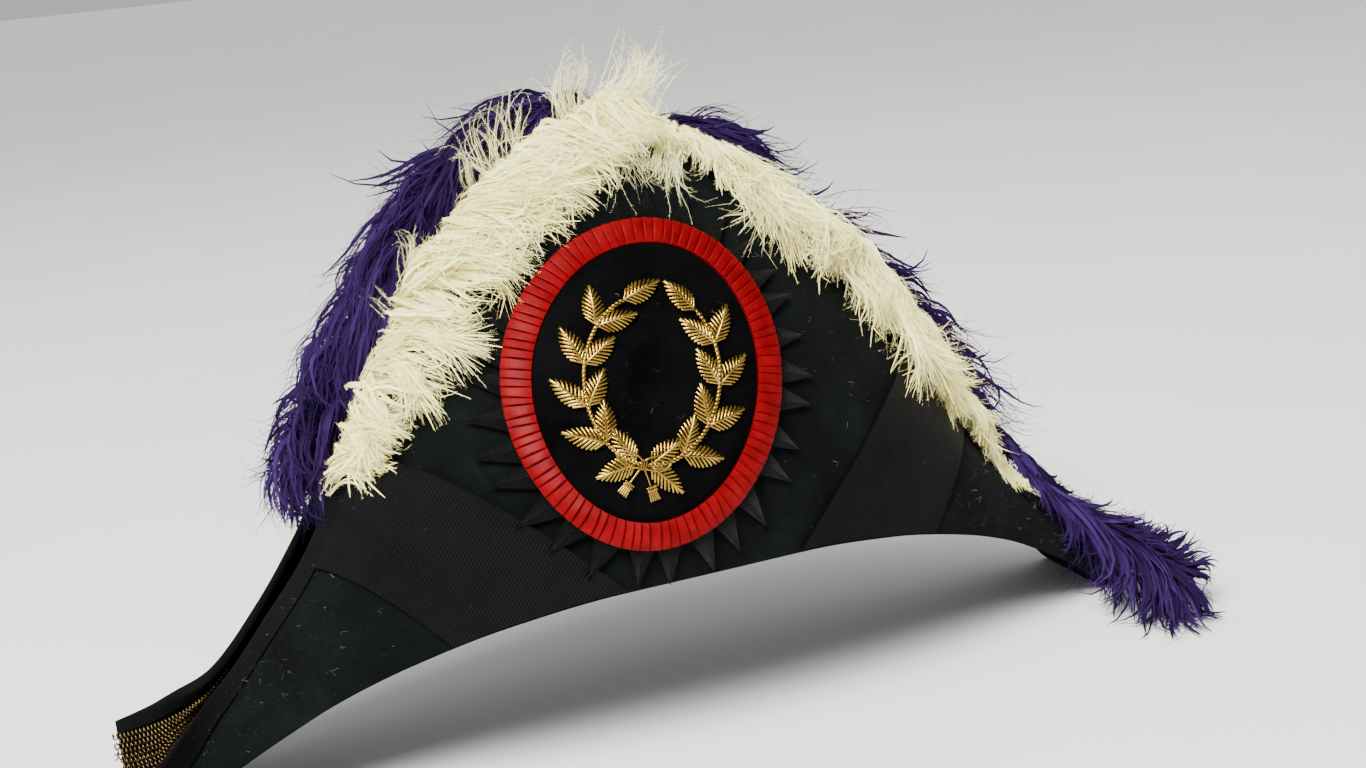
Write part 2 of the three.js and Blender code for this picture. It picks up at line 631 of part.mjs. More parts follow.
// Stations along a leaf's edge that are about the same distance apart on the edge itself
function edgeStations(fromX, toX, side, spacing) {
  const samples = 200;
  const fine = Array.from({ length: samples + 1 }, (_, i) => THREE.MathUtils.lerp(fromX, toX, i / samples));
  const reach = [0];
  for (let i = 1; i < fine.length; i++) {
    reach.push(reach[i - 1] + onCurve(fine[i], 1, side).distanceTo(onCurve(fine[i - 1], 1, side)));
  }
  const count = Math.max(2, Math.round(reach.at(-1) / spacing));
  const rounding = 1e-9;
  return Array.from({ length: count + 1 }, (_, k) => (
    fine[reach.findIndex((r) => r >= (reach.at(-1) * k) / count - rounding)]));
}

// Centre of a plume's spine, above the binding on a leaf's edge
const whiteStand = column(WHITE_LOCKS, "stand", false);
const purpleStand = column(PURPLE_LOCKS, "stand", false);
function spinePoint(x, side) {
  const stand = side === NEAR ? whiteStand(x) : purpleStand(x);
  return onCurve(x, 1, side).addScaledVector(edgeFrame(x, side).upwards, stand);
}

const LOCK_TAPER = [0.3, 0.9, 1, 0.3];

// White plume: a spine on the near edge and locks that roll over it and hang down the leaf
function whitePlume(fromX, toX) {
  const drop = column(WHITE_LOCKS, "drop", false);
  const stations = edgeStations(fromX, toX, NEAR, PLUME.lockSpacing);
  const locks = stations.map((x) => {
    const { along } = edgeFrame(x, NEAR);
    const edgeSlope = (slant(x + 1) - slant(x - 1)) / 2;
    const steep = Math.hypot(1, edgeSlope);
    const hang = (distance, height) => (
      onLeaf(x + (edgeSlope / steep) * distance, slant(x) - distance / steep, NEAR, height));
    const lift = PLUME.whiteLift;
    const roll = lift + PLUME.whiteRoll;
    const path = new THREE.CatmullRomCurve3([
      spinePoint(x, NEAR),
      hang(PLUME.rollStart, roll),
      hang(PLUME.rollShare * drop(x), roll),
      hang(drop(x), lift),
    ]);
    return lockAlong(path, along, PLUME.lockWidth, PLUME.whiteThickness, LOCK_TAPER);
  });
  const spine = rod(stations.map((x) => spinePoint(x, NEAR)), PLUME.spineRadius, PLUME.spineSides);
  return [spine, ...locks];
}

// Purple plume: a spine on the far edge and locks that stand up from it and roll over to the far face
function purplePlume(fromX, toX) {
  const crest = column(PURPLE_LOCKS, "crest", false);
  const stations = edgeStations(fromX, toX, FAR, PLUME.lockSpacing);
  const locks = stations.map((x) => {
    const { along, upwards } = edgeFrame(x, FAR);
    const from = spinePoint(x, FAR);
    const backwards = new THREE.Vector3(0, 1, 0);
    const path = new THREE.CatmullRomCurve3(PURPLE_ROLL.map(({ up, back }) => (
      from.clone().addScaledVector(upwards, up * crest(x)).addScaledVector(backwards, back))));
    return lockAlong(path, along, PLUME.lockWidth, PLUME.purpleThickness, LOCK_TAPER);
  });
  const spine = stations.map((x) => spinePoint(x, FAR));
  return { spine, locks };
}

// Free end of the right purple plume: locks that fan out from the drooping shaft
function headLocks(shaftCurve) {
  return HEAD_LOCKS.map((lock) => {
    const from = shaftCurve.getPoint(lock.share);
    const to = new THREE.Vector3(lock.x, lock.y, lock.z);
    const middle = from.clone().lerp(to, 0.5);
    middle.z += HEAD.rise;
    const path = new THREE.CatmullRomCurve3([from, middle, to]);
    const widthDirection = to.clone().sub(from).cross(new THREE.Vector3(0, 0, 1));
    return lockAlong(path, widthDirection, HEAD.width, HEAD.thickness, LOCK_TAPER);
  });
}

place("crown", crown(), COLOURS.crown, 0.95);
place("brim", brim(), COLOURS.felt, 0.95);
place("near_binding", binding(NEAR), COLOURS.ribbon, 0.8);
place("far_binding", binding(FAR), COLOURS.ribbon, 0.8);
place("left_ribbon", ribbon(-1), COLOURS.ribbon, 0.8);
place("right_ribbon", ribbon(1), COLOURS.ribbon, 0.8);
place("rosette_points", rosettePoints(), COLOURS.ribbon, 0.6);
place("rosette_pleats", rosettePleats(), COLOURS.red, 0.5);
place("rosette_oval", rosetteOval(), COLOURS.velvet, 1);
place("rosette_wreath", wreath(), COLOURS.gold, 0.4, 0.8);
place("left_tip_tassel", tipTassel(-1), COLOURS.bullion, 0.45, 0.8);
place("right_tip_tassel", tipTassel(1), COLOURS.bullion, 0.45, 0.8);

place("white_plume_left", fused(whitePlume(WHITE_LOCKS[0].x, -PLUME.apexGap)), COLOURS.white, 0.95);
place("white_plume_right", fused(whitePlume(PLUME.apexGap, WHITE_LOCKS.at(-1).x)), COLOURS.white, 0.95);
const purpleLeft = purplePlume(PURPLE_LOCKS[0].x, -PLUME.apexGap);
place("purple_plume_left", fused([
  rod(purpleLeft.spine, PLUME.spineRadius, PLUME.spineSides), ...purpleLeft.locks,
]), COLOURS.purple, 0.9);
const purpleRight = purplePlume(PLUME.apexGap, PURPLE_LOCKS.at(-1).x);
const shaft = SHAFT.map(({ x, y, z }) => new THREE.Vector3(x, y, z));
const shaftCurve = new THREE.CatmullRomCurve3(shaft);
place("purple_plume_right", fused([
  rod([...purpleRight.spine, ...shaft], PLUME.spineRadius, PLUME.spineSides),
  ...purpleRight.locks, ...headLocks(shaftCurve),
]), COLOURS.purple, 0.9);

// The origin is the middle of the hat's bounding box, on the surface that it stands on.
const box = new THREE.Box3().setFromObject(hat);
hat.position.set(-(box.min.x + box.max.x) / 2, -(box.min.y + box.max.y) / 2, -box.min.z);

const bicorne = new THREE.Group();
bicorne.add(hat);

export default bicorne;
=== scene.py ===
import math
from collections import namedtuple

import bmesh
import bpy
import numpy as np
from mathutils import Matrix, Vector


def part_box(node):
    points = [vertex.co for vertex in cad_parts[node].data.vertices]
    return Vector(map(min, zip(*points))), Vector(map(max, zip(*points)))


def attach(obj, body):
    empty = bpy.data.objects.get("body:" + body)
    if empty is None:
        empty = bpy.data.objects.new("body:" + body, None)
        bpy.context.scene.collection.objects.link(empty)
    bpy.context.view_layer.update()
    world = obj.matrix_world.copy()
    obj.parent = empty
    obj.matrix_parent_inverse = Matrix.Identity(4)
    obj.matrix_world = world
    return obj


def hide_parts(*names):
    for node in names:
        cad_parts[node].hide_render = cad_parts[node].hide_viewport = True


# A dress bicorne: felt leaves, bound edges, ribbons, a pleated rosette with a bullion wreath,
# ostrich plumes and bullion tassels. Shapes are worked out in millimetres in the hat's own frame:
# x from tip to tip, the rosette towards -y, z up, and the origin under the middle of the brim.

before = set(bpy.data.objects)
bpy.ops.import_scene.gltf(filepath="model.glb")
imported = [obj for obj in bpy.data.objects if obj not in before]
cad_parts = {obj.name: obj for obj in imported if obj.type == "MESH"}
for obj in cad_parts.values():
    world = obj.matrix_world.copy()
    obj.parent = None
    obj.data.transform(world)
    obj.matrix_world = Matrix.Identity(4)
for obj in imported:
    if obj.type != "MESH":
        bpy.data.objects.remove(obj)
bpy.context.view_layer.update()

MM = 0.001
brim_low, brim_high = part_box("brim")
HAT_ORIGIN = np.array([(brim_low.x + brim_high.x) / 2, (brim_low.y + brim_high.y) / 2, brim_low.z]) / MM

NEAR = -1
FAR = 1

# Felt sections from the middle to a tip: a leaf rises from its fold at the rim to its edge at the top.
Section = namedtuple("Section", "x rim_y rim_z top_y top_z bulge")
SECTIONS = [Section(*row) for row in (
    (0, 84, 77, 12, 243, 36),
    (40, 81.5, 76, 11.5, 230.5, 35),
    (80, 74.5, 70.5, 11.5, 192.5, 29),
    (120, 63, 59, 12.5, 136, 19),
    (145, 54.5, 48.5, 13, 94.5, 11),
    (165, 46.5, 37, 10, 69.5, 6),
    (185, 38, 24, 11, 48.2, 2),
    (205, 28, 8.6, 25, 34, 0),
    (213, 23.5, 0, 31, 28.5, 0),
    (227, 16, 0, 38, 21.5, 0),
)]
TIP_X = SECTIONS[-1].x
FELT = 2.6
CROWN_LENGTH, CROWN_WIDTH, CROWN_HEIGHT, CROWN_FELT = 103.0, 79.5, 101.0, 2.2
CROWN_ROUNDNESS = 2.4
OPENING_CLEARANCE = 0.4

BINDING_OUTER, BINDING_INNER, CLOTH = 11.0, 5.0, 1.0
RIBBON_LIFT = 0.6
RibbonEdge = namedtuple("RibbonEdge", "start lean")
RIBBON_INNER = RibbonEdge(35.0, 0.98)
RIBBON_OUTER = RibbonEdge(101.0, 0.78)

# Rosette: its centre on the near leaf, its tilt and the half sizes of its ovals
ROSETTE_X, ROSETTE_UP, ROSETTE_TILT = -14.0, 76.0, math.radians(18.5)
RING_OUTER = np.array([52.4, 63.0])
RING_INNER = np.array([42.2, 53.0])
ROSETTE_LIFT = 2.0
RING_BASE = 3.9
VELVET_TOP = 6.3
POINT_COUNT, POINT_REACH = 30, 14.5
PLEAT_COUNT = 92

# Photograph: camera angles in degrees, distance and target in millimetres, lens for a 36 mm sensor
CAMERA_YAW, CAMERA_ELEVATION, CAMERA_ROLL = 19.43, 14.76, -5.97
CAMERA_DISTANCE, CAMERA_LENS = 731.3, 45.2
CAMERA_TARGET = np.array([23.8, 0.0, 130.0])


# Curves and surfaces of the felt

def smooth_column(xs, ys, flat_start=False):
    """A curve through (xs, ys) that never overshoots its points."""
    xs, ys = np.asarray(xs, float), np.asarray(ys, float)
    widths = np.diff(xs)
    slopes = np.diff(ys) / widths
    tangents = np.zeros(len(xs))
    tangents[0] = 0.0 if flat_start else slopes[0]
    tangents[-1] = slopes[-1]
    for i in range(1, len(xs) - 1):
        if slopes[i - 1] * slopes[i] > 0:
            before = 2 * widths[i] + widths[i - 1]
            after = widths[i] + 2 * widths[i - 1]
            tangents[i] = (before + after) / (before / slopes[i - 1] + after / slopes[i])

    def curve(x):
        x = np.clip(x, xs[0], xs[-1])
        i = np.clip(np.searchsorted(xs, x, side="right") - 1, 0, len(xs) - 2)
        t = (x - xs[i]) / widths[i]
        start = (1 + 2 * t) * (1 - t) ** 2 * ys[i] + t * (1 - t) ** 2 * widths[i] * tangents[i]
        end = t * t * (3 - 2 * t) * ys[i + 1] + t * t * (t - 1) * widths[i] * tangents[i + 1]
        return start + end

    return curve


section_x = [row.x for row in SECTIONS]
rim_y, rim_z, top_y, top_z, bulge = (
    smooth_column(section_x, [getattr(row, name) for row in SECTIONS], flat_start=True)
    for name in Section._fields[1:])


def unit(vectors):
    return vectors / np.maximum(np.linalg.norm(vectors, axis=-1, keepdims=True), 1e-9)


def leaf_controls(x):
    """Rim, pull and top points of a leaf's outer curve at x, as (distance from the middle, z)."""
    x = np.abs(np.asarray(x, float))
    rim = np.stack([rim_y(x), rim_z(x)], -1)
    top = np.stack([top_y(x), top_z(x)], -1)
    along = unit(top - rim)
    outwards = np.stack([along[..., 1], -along[..., 0]], -1)
    return rim, (rim + top) / 2 + outwards * bulge(x)[..., None], top


def inner_controls(x, depth):
    """The same curve moved into the felt by a depth, meeting the inner face of the bottom."""
    rim, pull, top = leaf_controls(x)
    first, second = unit(pull - rim), unit(top - pull)
    in_first = np.stack([-first[..., 1], first[..., 0]], -1)
    in_second = np.stack([-second[..., 1], second[..., 0]], -1)
    corner = (in_first + in_second) * (depth / (1 + (in_first * in_second).sum(-1)))[..., None]
    foot_y = depth * (first[..., 0] - 1) / first[..., 1]
    foot = np.stack([foot_y, np.full(foot_y.shape, float(depth))], -1)
    return rim + foot, pull + corner, top + in_second * depth


def bezier2(controls, t):
    a, b, c = controls
    t = np.asarray(t, float)[..., None]
    return (1 - t) ** 2 * a + 2 * t * (1 - t) * b + t * t * c


def in_section(x, plane_points, side):
    x = np.broadcast_to(x, plane_points.shape[:-1])
    return np.stack([x, side * plane_points[..., 0], plane_points[..., 1]], -1)


def leaf(x, t, side):
    x, t = np.broadcast_arrays(np.asarray(x, float), np.asarray(t, float))
    return in_section(x, bezier2(leaf_controls(x), t), side)


def slant(x):
    rim, _, top = leaf_controls(x)
    return np.linalg.norm(top - rim, axis=-1)


def on_leaf(x, up, side, height=0.0):
    """Points at a height above a leaf's outer face; up is the distance from the rim along the leaf."""
    x, up, height = np.broadcast_arrays(*(np.asarray(value, float) for value in (x, up, height)))
    t = np.clip(up / slant(x), 0, 1)
    dx, dt = 0.5, 0.01
    along = leaf(x + dx, t, side) - leaf(x - dx, t, side)
    rise = leaf(x, t + dt, side) - leaf(x, t - dt, side)
    return leaf(x, t, side) + unit(np.cross(along, rise)) * (-side * height)[..., None]


def edge_frame(x, side):
    """Along a leaf's edge towards +x, and upright and square to it."""
    dx = 1.0
    along = unit(leaf(x + dx, 1.0, side) - leaf(x - dx, 1.0, side))
    upright = unit(np.stack([-along[..., 2], np.zeros(along.shape[:-1]), along[..., 0]], -1))
    return along, upright


def on_rosette(p, q, height):
    """A point of the rosette's own tilted plane, p to the right and q up, laid on the near leaf."""
    p, q = np.asarray(p, float), np.asarray(q, float)
    x = ROSETTE_X + p * math.cos(ROSETTE_TILT) + q * math.sin(ROSETTE_TILT)
    rim_drop = rim_z(abs(ROSETTE_X)) - rim_z(np.abs(x))
    up = ROSETTE_UP - p * math.sin(ROSETTE_TILT) + q * math.cos(ROSETTE_TILT) + rim_drop
    return on_leaf(x, up, NEAR, height)


# Lines of points

def run_along(line):
    """The distance along a line at each of its points."""
    return np.concatenate([[0], np.cumsum(np.linalg.norm(np.diff(line, axis=0), axis=-1))])


def resampled(line, at):
    """The places at given distances along a line."""
    run = run_along(line)
    return np.stack([np.interp(at, run, line[:, k]) for k in range(3)], -1)


def square_to(line, reference=None):
    """Two ways that are square to a line and to each other, at each of its points."""
    forward = unit(np.gradient(line, axis=0))
    if reference is None:
        reference = np.where(np.abs(forward[:, 2:3]) < 0.9, [[0, 0, 1.0]], [[1.0, 0, 0]])
    first = unit(np.cross(forward, reference))
    return first, np.cross(forward, first)


def wound(line, at, pitch, phase, radius, reference):
    """A strand wound round a line, whose points lie at given distances along it."""
    first, second = square_to(line, reference)
    turn = (2 * math.pi * at / pitch + phase)[:, None]
    return line + (first * np.cos(turn) + second * np.sin(turn)) * radius


# Meshes

SEAM = 0.01
SHARP_CORNER = math.radians(45)
WAVE_COUNT = 8


class Shape:
    """Collects points, faces, texture coordinates in millimetres and a tone for each point."""

    def __init__(self):
        self.points, self.faces, self.uv, self.tone, self.count = [], [], [], [], 0

    def add(self, points, faces, uv=None, tone=0.5):
        points = np.asarray(points, float).reshape(-1, 3)
        self.faces.append(np.asarray(faces, int) + self.count)
        self.points.append(points)
        self.uv.append(np.zeros((len(points), 2)) if uv is None else np.asarray(uv, float).reshape(-1, 2))
        self.tone.append(np.broadcast_to(np.asarray(tone, float), (len(points),)))
        self.count += len(points)

    def grid(self, points, uv=None, tone=0.5, ring=False, flip=False):
        """Quads over a grid of points; the columns close into a ring where ring is true."""
        rows, cols = points.shape[:2]
        index = np.arange(rows * cols).reshape(rows, cols)
        right = np.roll(index, -1, axis=1) if ring else index[:, 1:]
        left = index if ring else index[:, :-1]
        quads = np.stack([left[:-1], left[1:], right[1:], right[:-1]], -1).reshape(-1, 4)
        tones = tone if np.ndim(tone) == 0 else np.asarray(tone).reshape(-1)
        self.add(points, quads[:, ::-1] if flip else quads, uv, tones)

    def wall(self, one_edge, other_edge, **settings):
        """A band of quads between two edges."""
        self.grid(np.stack([one_edge, other_edge]), **settings)

    def tube(self, centres, radius, sides, tone=0.5):
        """A tube round a line of centres; radius is one number or one for each centre."""
        centres = np.asarray(centres, float)
        first, second = square_to(centres)
        angle = np.linspace(0, 2 * math.pi, sides, endpoint=False)[:, None]
        ring = first[:, None] * np.cos(angle) + second[:, None] * np.sin(angle)
        radii = np.broadcast_to(np.asarray(radius, float), (len(centres),))
        self.grid(centres[:, None] + ring * radii[:, None, None], tone=tone, ring=True)

    def piece(self, name, material, nodes, smooth=True, weld=False):
        """The finished object, riding on the hat's one body in place of its nodes."""
        points = (np.concatenate(self.points) + HAT_ORIGIN) * MM
        loops = np.concatenate([f.ravel() for f in self.faces])
        sizes = np.concatenate([np.full(len(f), f.shape[1]) for f in self.faces])
        mesh = bpy.data.meshes.new(name)
        mesh.vertices.add(len(points))
        mesh.vertices.foreach_set("co", points.ravel())
        mesh.loops.add(len(loops))
        mesh.loops.foreach_set("vertex_index", loops)
        mesh.polygons.add(len(sizes))
        mesh.polygons.foreach_set("loop_start", np.concatenate([[0], np.cumsum(sizes)[:-1]]))
        mesh.polygons.foreach_set("use_smooth", np.full(len(sizes), smooth))
        mesh.update(calc_edges=True)
        mesh.uv_layers.new(name="cloth").data.foreach_set("uv", np.concatenate(self.uv)[loops].ravel())
        tone = mesh.attributes.new("tone", "FLOAT", "POINT")
        tone.data.foreach_set("value", np.concatenate(self.tone))
        mesh.materials.append(material)
        if weld:
            close_seams(mesh)
        obj = placed(name, mesh)
        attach(obj, "root")
        if nodes:
            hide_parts(*nodes)
        return obj


def placed(name, data):
    """A new object in the scene."""
    obj = bpy.data.objects.new(name, data)
    bpy.context.scene.collection.objects.link(obj)
    return obj


def close_seams(mesh):
    """Joins grids that meet into one closed skin, and keeps its corners sharp."""
    skin = bmesh.new()
    skin.from_mesh(mesh)
    bmesh.ops.remove_doubles(skin, verts=skin.verts, dist=SEAM * MM)
    bmesh.ops.recalc_face_normals(skin, faces=skin.faces)
    skin.to_mesh(mesh)
    skin.free()
    mesh.set_sharp_from_angle(angle=SHARP_CORNER)


def waves(points, scale, seed):
    """Smooth unevenness between -1 and 1 with bumps about as wide as scale."""
    rng = np.random.default_rng(seed)
    total = np.zeros(points.shape[:-1])
    for _ in range(WAVE_COUNT):
        direction = unit(rng.normal(size=3)) * (2 * math.pi / scale) * rng.uniform(0.5, 1.2)
        total += np.sin(points @ direction + rng.uniform(0, 2 * math.pi))
    return total / WAVE_COUNT


# Materials

class Look:
    """A Principled material and the nodes that feed it."""

    def __init__(self, name, color, roughness, metallic=0.0, gloss=0.5,
                 sheen=0.0, sheen_tint=(1, 1, 1), sheen_roughness=0.4):
        self.material = bpy.data.materials.new(name)
        self.material.use_nodes = True
        self.nodes = self.material.node_tree.nodes
        self.links = self.material.node_tree.links
        self.shader = self.nodes["Principled BSDF"]
        self.fill(self.shader, {
            "Base Color": (*color, 1), "Roughness": roughness, "Metallic": metallic,
            "Specular IOR Level": gloss, "Sheen Weight": sheen, "Sheen Tint": (*sheen_tint, 1),
            "Sheen Roughness": sheen_roughness})

    def fill(self, node, values):
        for socket, value in values.items():
            node.inputs[socket].default_value = value

    def paint(self, color):
        self.links.new(color, self.shader.inputs["Base Color"])

    def texture(self, kind, values, coordinates, stretch=(1, 1, 1)):
        where = self.nodes.new("ShaderNodeTexCoord")
        mapping = self.nodes.new("ShaderNodeMapping")
        node = self.nodes.new(kind)
        self.fill(mapping, {"Scale": stretch})
        self.fill(node, values)
        self.links.new(where.outputs[coordinates], mapping.inputs["Vector"])
        self.links.new(mapping.outputs["Vector"], node.inputs["Vector"])
        return node

    def noise(self, scale, detail=4.0, roughness=0.6, stretch=(1, 1, 1), coordinates="Object"):
        values = {"Scale": scale, "Detail": detail, "Roughness": roughness}
        return self.texture("ShaderNodeTexNoise", values, coordinates, stretch).outputs["Fac"]

    def ribs(self, pitch):
        """Ribs across a ribbon, at a pitch in the millimetres of its texture coordinates."""
        values = {"Scale": math.pi / (10 * pitch), "Distortion": 0.25, "Detail": 2}
        node = self.texture("ShaderNodeTexWave", values, "UV")
        node.bands_direction = "Y"
        return node.outputs["Fac"]

    def tone(self):
        node = self.nodes.new("ShaderNodeAttribute")
        node.attribute_name = "tone"
        return node.outputs["Fac"]

    def ramp(self, factor, stops):
        node = self.nodes.new("ShaderNodeValToRGB")
        elements = node.color_ramp.elements
        while len(elements) < len(stops):
            elements.new(0.5)
        for element, (position, color) in zip(elements, stops):
            element.position = position
            element.color = (*color, 1)
        self.links.new(factor, node.inputs["Fac"])
        return node.outputs["Color"]

    def multiplied(self, color, shade, share):
        """A colour darkened by another, as far as the share says."""
        node = self.nodes.new("ShaderNodeMix")
        node.data_type = "RGBA"
        node.blend_type = "MULTIPLY"
        self.fill(node, {"Factor": share})
        self.links.new(color, node.inputs["A"])
        self.links.new(shade, node.inputs["B"])
        return node.outputs["Result"]

    def bump(self, height, distance, strength, under=None):
        node = self.nodes.new("ShaderNodeBump")
        self.fill(node, {"Strength": strength, "Distance": distance})
        self.links.new(height, node.inputs["Height"])
        if under is not None:
            self.links.new(under, node.inputs["Normal"])
        self.links.new(node.outputs["Normal"], self.shader.inputs["Normal"])
        return node.outputs["Normal"]


def felt_material():
    look = Look("fur_felt", (0.012, 0.014, 0.015), 0.92, gloss=0.045,
                sheen=0.012, sheen_tint=(0.55, 0.65, 0.62), sheen_roughness=0.5)
    look.paint(look.ramp(look.noise(38, detail=6, roughness=0.65), [
        (0.3, (0.001, 0.0015, 0.0014)), (0.55, (0.0023, 0.0034, 0.0032)), (0.78, (0.005, 0.0075, 0.007))]))
    nap = look.noise(900, detail=6, roughness=0.75, stretch=(1, 1, 2.2))
    dents = look.noise(60, detail=3)
    look.bump(nap, 0.0006, 0.8, under=look.bump(dents, 0.001, 0.35))
    return look.material


def ribbon_material(name, rib_pitch, roughness, gloss, shade):
    """Black ribbed silk; its ribs run across the ribbon's width, with painted shade in the grooves between
    them.
    """
    look = Look(name, (0.008, 0.008, 0.009), roughness, gloss=gloss,
                sheen=0.007, sheen_tint=(0.6, 0.62, 0.66), sheen_roughness=0.5)
    ribs = look.ribs(rib_pitch)
    dark, light = (tuple(shade * np.array(c)) for c in ((0.0018, 0.002, 0.0022), (0.0044, 0.0047, 0.005)))
    silk = look.ramp(look.noise(70, detail=5), [(0.3, dark), (0.75, light)])
    # Painted shade: the colour is darkened in the grooves between the ribs.
    groove_shade = look.ramp(ribs, [(0.15, (0.2, 0.2, 0.2)), (0.7, (1, 1, 1))])
    look.paint(look.multiplied(silk, groove_shade, 0.85))
    threads = look.noise(5, detail=2, stretch=(0.25, 1, 1), coordinates="UV")
    look.bump(ribs, 0.0004, 0.9, under=look.bump(threads, 0.0003, 0.4))
    return look.material


def satin_material():
    look = Look("red_satin", (0.14, 0.0, 0.002), 0.45, gloss=0.06)
    look.fill(look.shader, {"Anisotropic": 0.3})
    worn = look.ramp(look.noise(140, detail=5), [
        (0.25, (0.09, 0.0, 0.001)), (0.55, (0.14, 0.0, 0.002)), (0.8, (0.19, 0.0006, 0.004))])
    # Painted shade in the creases where each pleat drops behind the next, read from the pleats' tone.
    crease_shade = look.ramp(look.tone(), [(0.0, (0.28, 0.2, 0.2)), (0.35, (1, 1, 1))])
    look.paint(look.multiplied(worn, crease_shade, 0.8))
    look.bump(look.noise(260), 0.0005, 0.35)
    return look.material


def velvet_material():
    look = Look("black_velvet", (0.0025, 0.0025, 0.003), 1.0, gloss=0.015,
                sheen=0.01, sheen_tint=(0.5, 0.5, 0.55), sheen_roughness=0.3)
    crushed = look.noise(45, detail=5)
    look.paint(look.ramp(crushed, [(0.35, (0.0008, 0.0008, 0.001)), (0.75, (0.003, 0.003, 0.0034))]))
    look.bump(look.noise(1600, detail=3), 0.0005, 0.7)
    return look.material


def gold_material(name, bright, dull, roughness):
    look = Look(name, bright, roughness, metallic=1.0)
    look.paint(look.ramp(look.noise(160, detail=6), [(0.32, dull), (0.62, bright)]))
    return look.material


def feather_material(name, dark, middle, light, sheen_tint):
    look = Look(name, middle, 0.75, gloss=0.08, sheen=0.02, sheen_tint=sheen_tint, sheen_roughness=0.5)
    color = look.ramp(look.tone(), [(0.0, dark), (0.45, middle), (1.0, light)])
    streaks = look.ramp(look.noise(220, detail=3), [(0.3, (0.7, 0.68, 0.66)), (0.65, (1, 1, 1))])
    look.paint(look.multiplied(color, streaks, 0.35))
    return look.material


def lint_material():
    look = Look("lint", (0.3, 0.3, 0.28), 0.9)
    look.paint(look.ramp(look.tone(), [
        (0.0, (0.01, 0.012, 0.013)), (0.6, (0.04, 0.045, 0.045)), (1.0, (0.34, 0.34, 0.31))]))
    return look.material


FELT_LOOK = felt_material()
BINDING_LOOK = ribbon_material("binding_silk", rib_pitch=0.7, roughness=0.8, gloss=0.05, shade=0.7)
RIBBON_LOOK = ribbon_material("grosgrain", rib_pitch=1.35, roughness=0.55, gloss=0.06, shade=0.9)
POINT_LOOK = ribbon_material("point_silk", rib_pitch=0.6, roughness=0.42, gloss=0.085, shade=0.6)
SATIN_LOOK = satin_material()
VELVET_LOOK = velvet_material()
GOLD_LOOK = gold_material("gold_bullion", (0.47, 0.31, 0.065), (0.17, 0.1, 0.018), 0.22)
TASSEL_LOOK = gold_material("old_bullion", (0.24, 0.17, 0.07), (0.1, 0.066, 0.028), 0.36)
# Towards the dark end of its ramp the white carries painted shade for the plume's deeper barbs
WHITE_LOOK = feather_material(
    "white_ostrich", (0.6, 0.51, 0.17), (0.97, 0.9, 0.37), (1.0, 0.97, 0.52), (1, 0.97, 0.85))
PURPLE_LOOK = feather_material(
    "purple_ostrich", (0.004, 0.0008, 0.013), (0.013, 0.0032, 0.039), (0.034, 0.013, 0.086), (0.55, 0.4, 0.9))
LINT_LOOK = lint_material()


# Felt pieces

OPENING_LENGTH, OPENING_WIDTH = CROWN_LENGTH + OPENING_CLEARANCE, CROWN_WIDTH + OPENING_CLEARANCE
OPENING_STATIONS, ARM_STATIONS, TIP_STATIONS, TIP_START = 34, 22, 26, 180.0
LEAF_ROWS, BOTTOM_COLUMNS = 24, 9
LEAF_UNEVEN, CROWN_UNEVEN = 0.25, 0.6
CROWN_SIDES, CROWN_ROWS = 84, 26
BINDING_STATIONS, BINDING_GAP, BINDING_GIRTH, BINDING_RIPPLE = 200, 0.3, 20.0, 0.12
OUTER_STEPS, FOLD_STEPS, INNER_STEPS = 8, 7, 4
RIBBON_COLUMNS, RIBBON_ROWS, RIBBON_FOOT = 25, 56, 0.015
RIBBON_EDGE_GAP, RIBBON_CURL, RIBBON_UNEVEN = 1.2, 0.35, 0.12


def half_opening(x):
    return OPENING_WIDTH * np.sqrt(np.clip(1 - (np.asarray(x) / OPENING_LENGTH) ** 2, 0, 1))


def brim_stations():
    half = np.concatenate([
        OPENING_LENGTH * np.sin(np.linspace(0, math.pi / 2, OPENING_STATIONS)),
        np.linspace(OPENING_LENGTH, TIP_START, ARM_STATIONS)[1:],
        np.linspace(TIP_START, TIP_X, TIP_STATIONS)[1:]])
    return np.concatenate([-half[:0:-1], half])


def brim_layer(shape, x, controls):
    """The leaf and the bottom of both sides, for one face of the felt."""
    t = np.linspace(1, 0, LEAF_ROWS)[None]
    rim = controls[0]
    share = np.linspace(0, 1, BOTTOM_COLUMNS)[None]
    across = rim[..., 0] * (1 - share) + half_opening(x) * share
    flat = np.stack([across, np.broadcast_to(rim[..., 1], across.shape)], -1)
    sheets = []
    for side in (NEAR, FAR):
        standing = in_section(x, bezier2(controls, t), side)
        uneven = LEAF_UNEVEN * waves(standing, scale=55, seed=3) * np.sin(math.pi * t)
        standing = standing + uneven[..., None] * np.array([0, side, 0])
        bottom = in_section(x, flat, side)
        shape.grid(standing)
        shape.grid(bottom)
        sheets.append((standing, bottom))
    return sheets


def brim():
    shape = Shape()
    x = brim_stations()[:, None]
    over_head = np.abs(x[:, 0]) < OPENING_LENGTH + SEAM
    outside = brim_layer(shape, x, leaf_controls(x))
    inside = brim_layer(shape, x, inner_controls(x, FELT))
    for outer, inner in zip(outside, inside):
        shape.wall(outer[0][:, 0], inner[0][:, 0])
        shape.wall(outer[1][over_head, -1], inner[1][over_head, -1])
        for outer_sheet, inner_sheet in zip(outer, inner):
            for end in (0, -1):
                shape.wall(outer_sheet[end], inner_sheet[end])
    shape.piece("felt_brim", FELT_LOOK, ["brim"], weld=True)


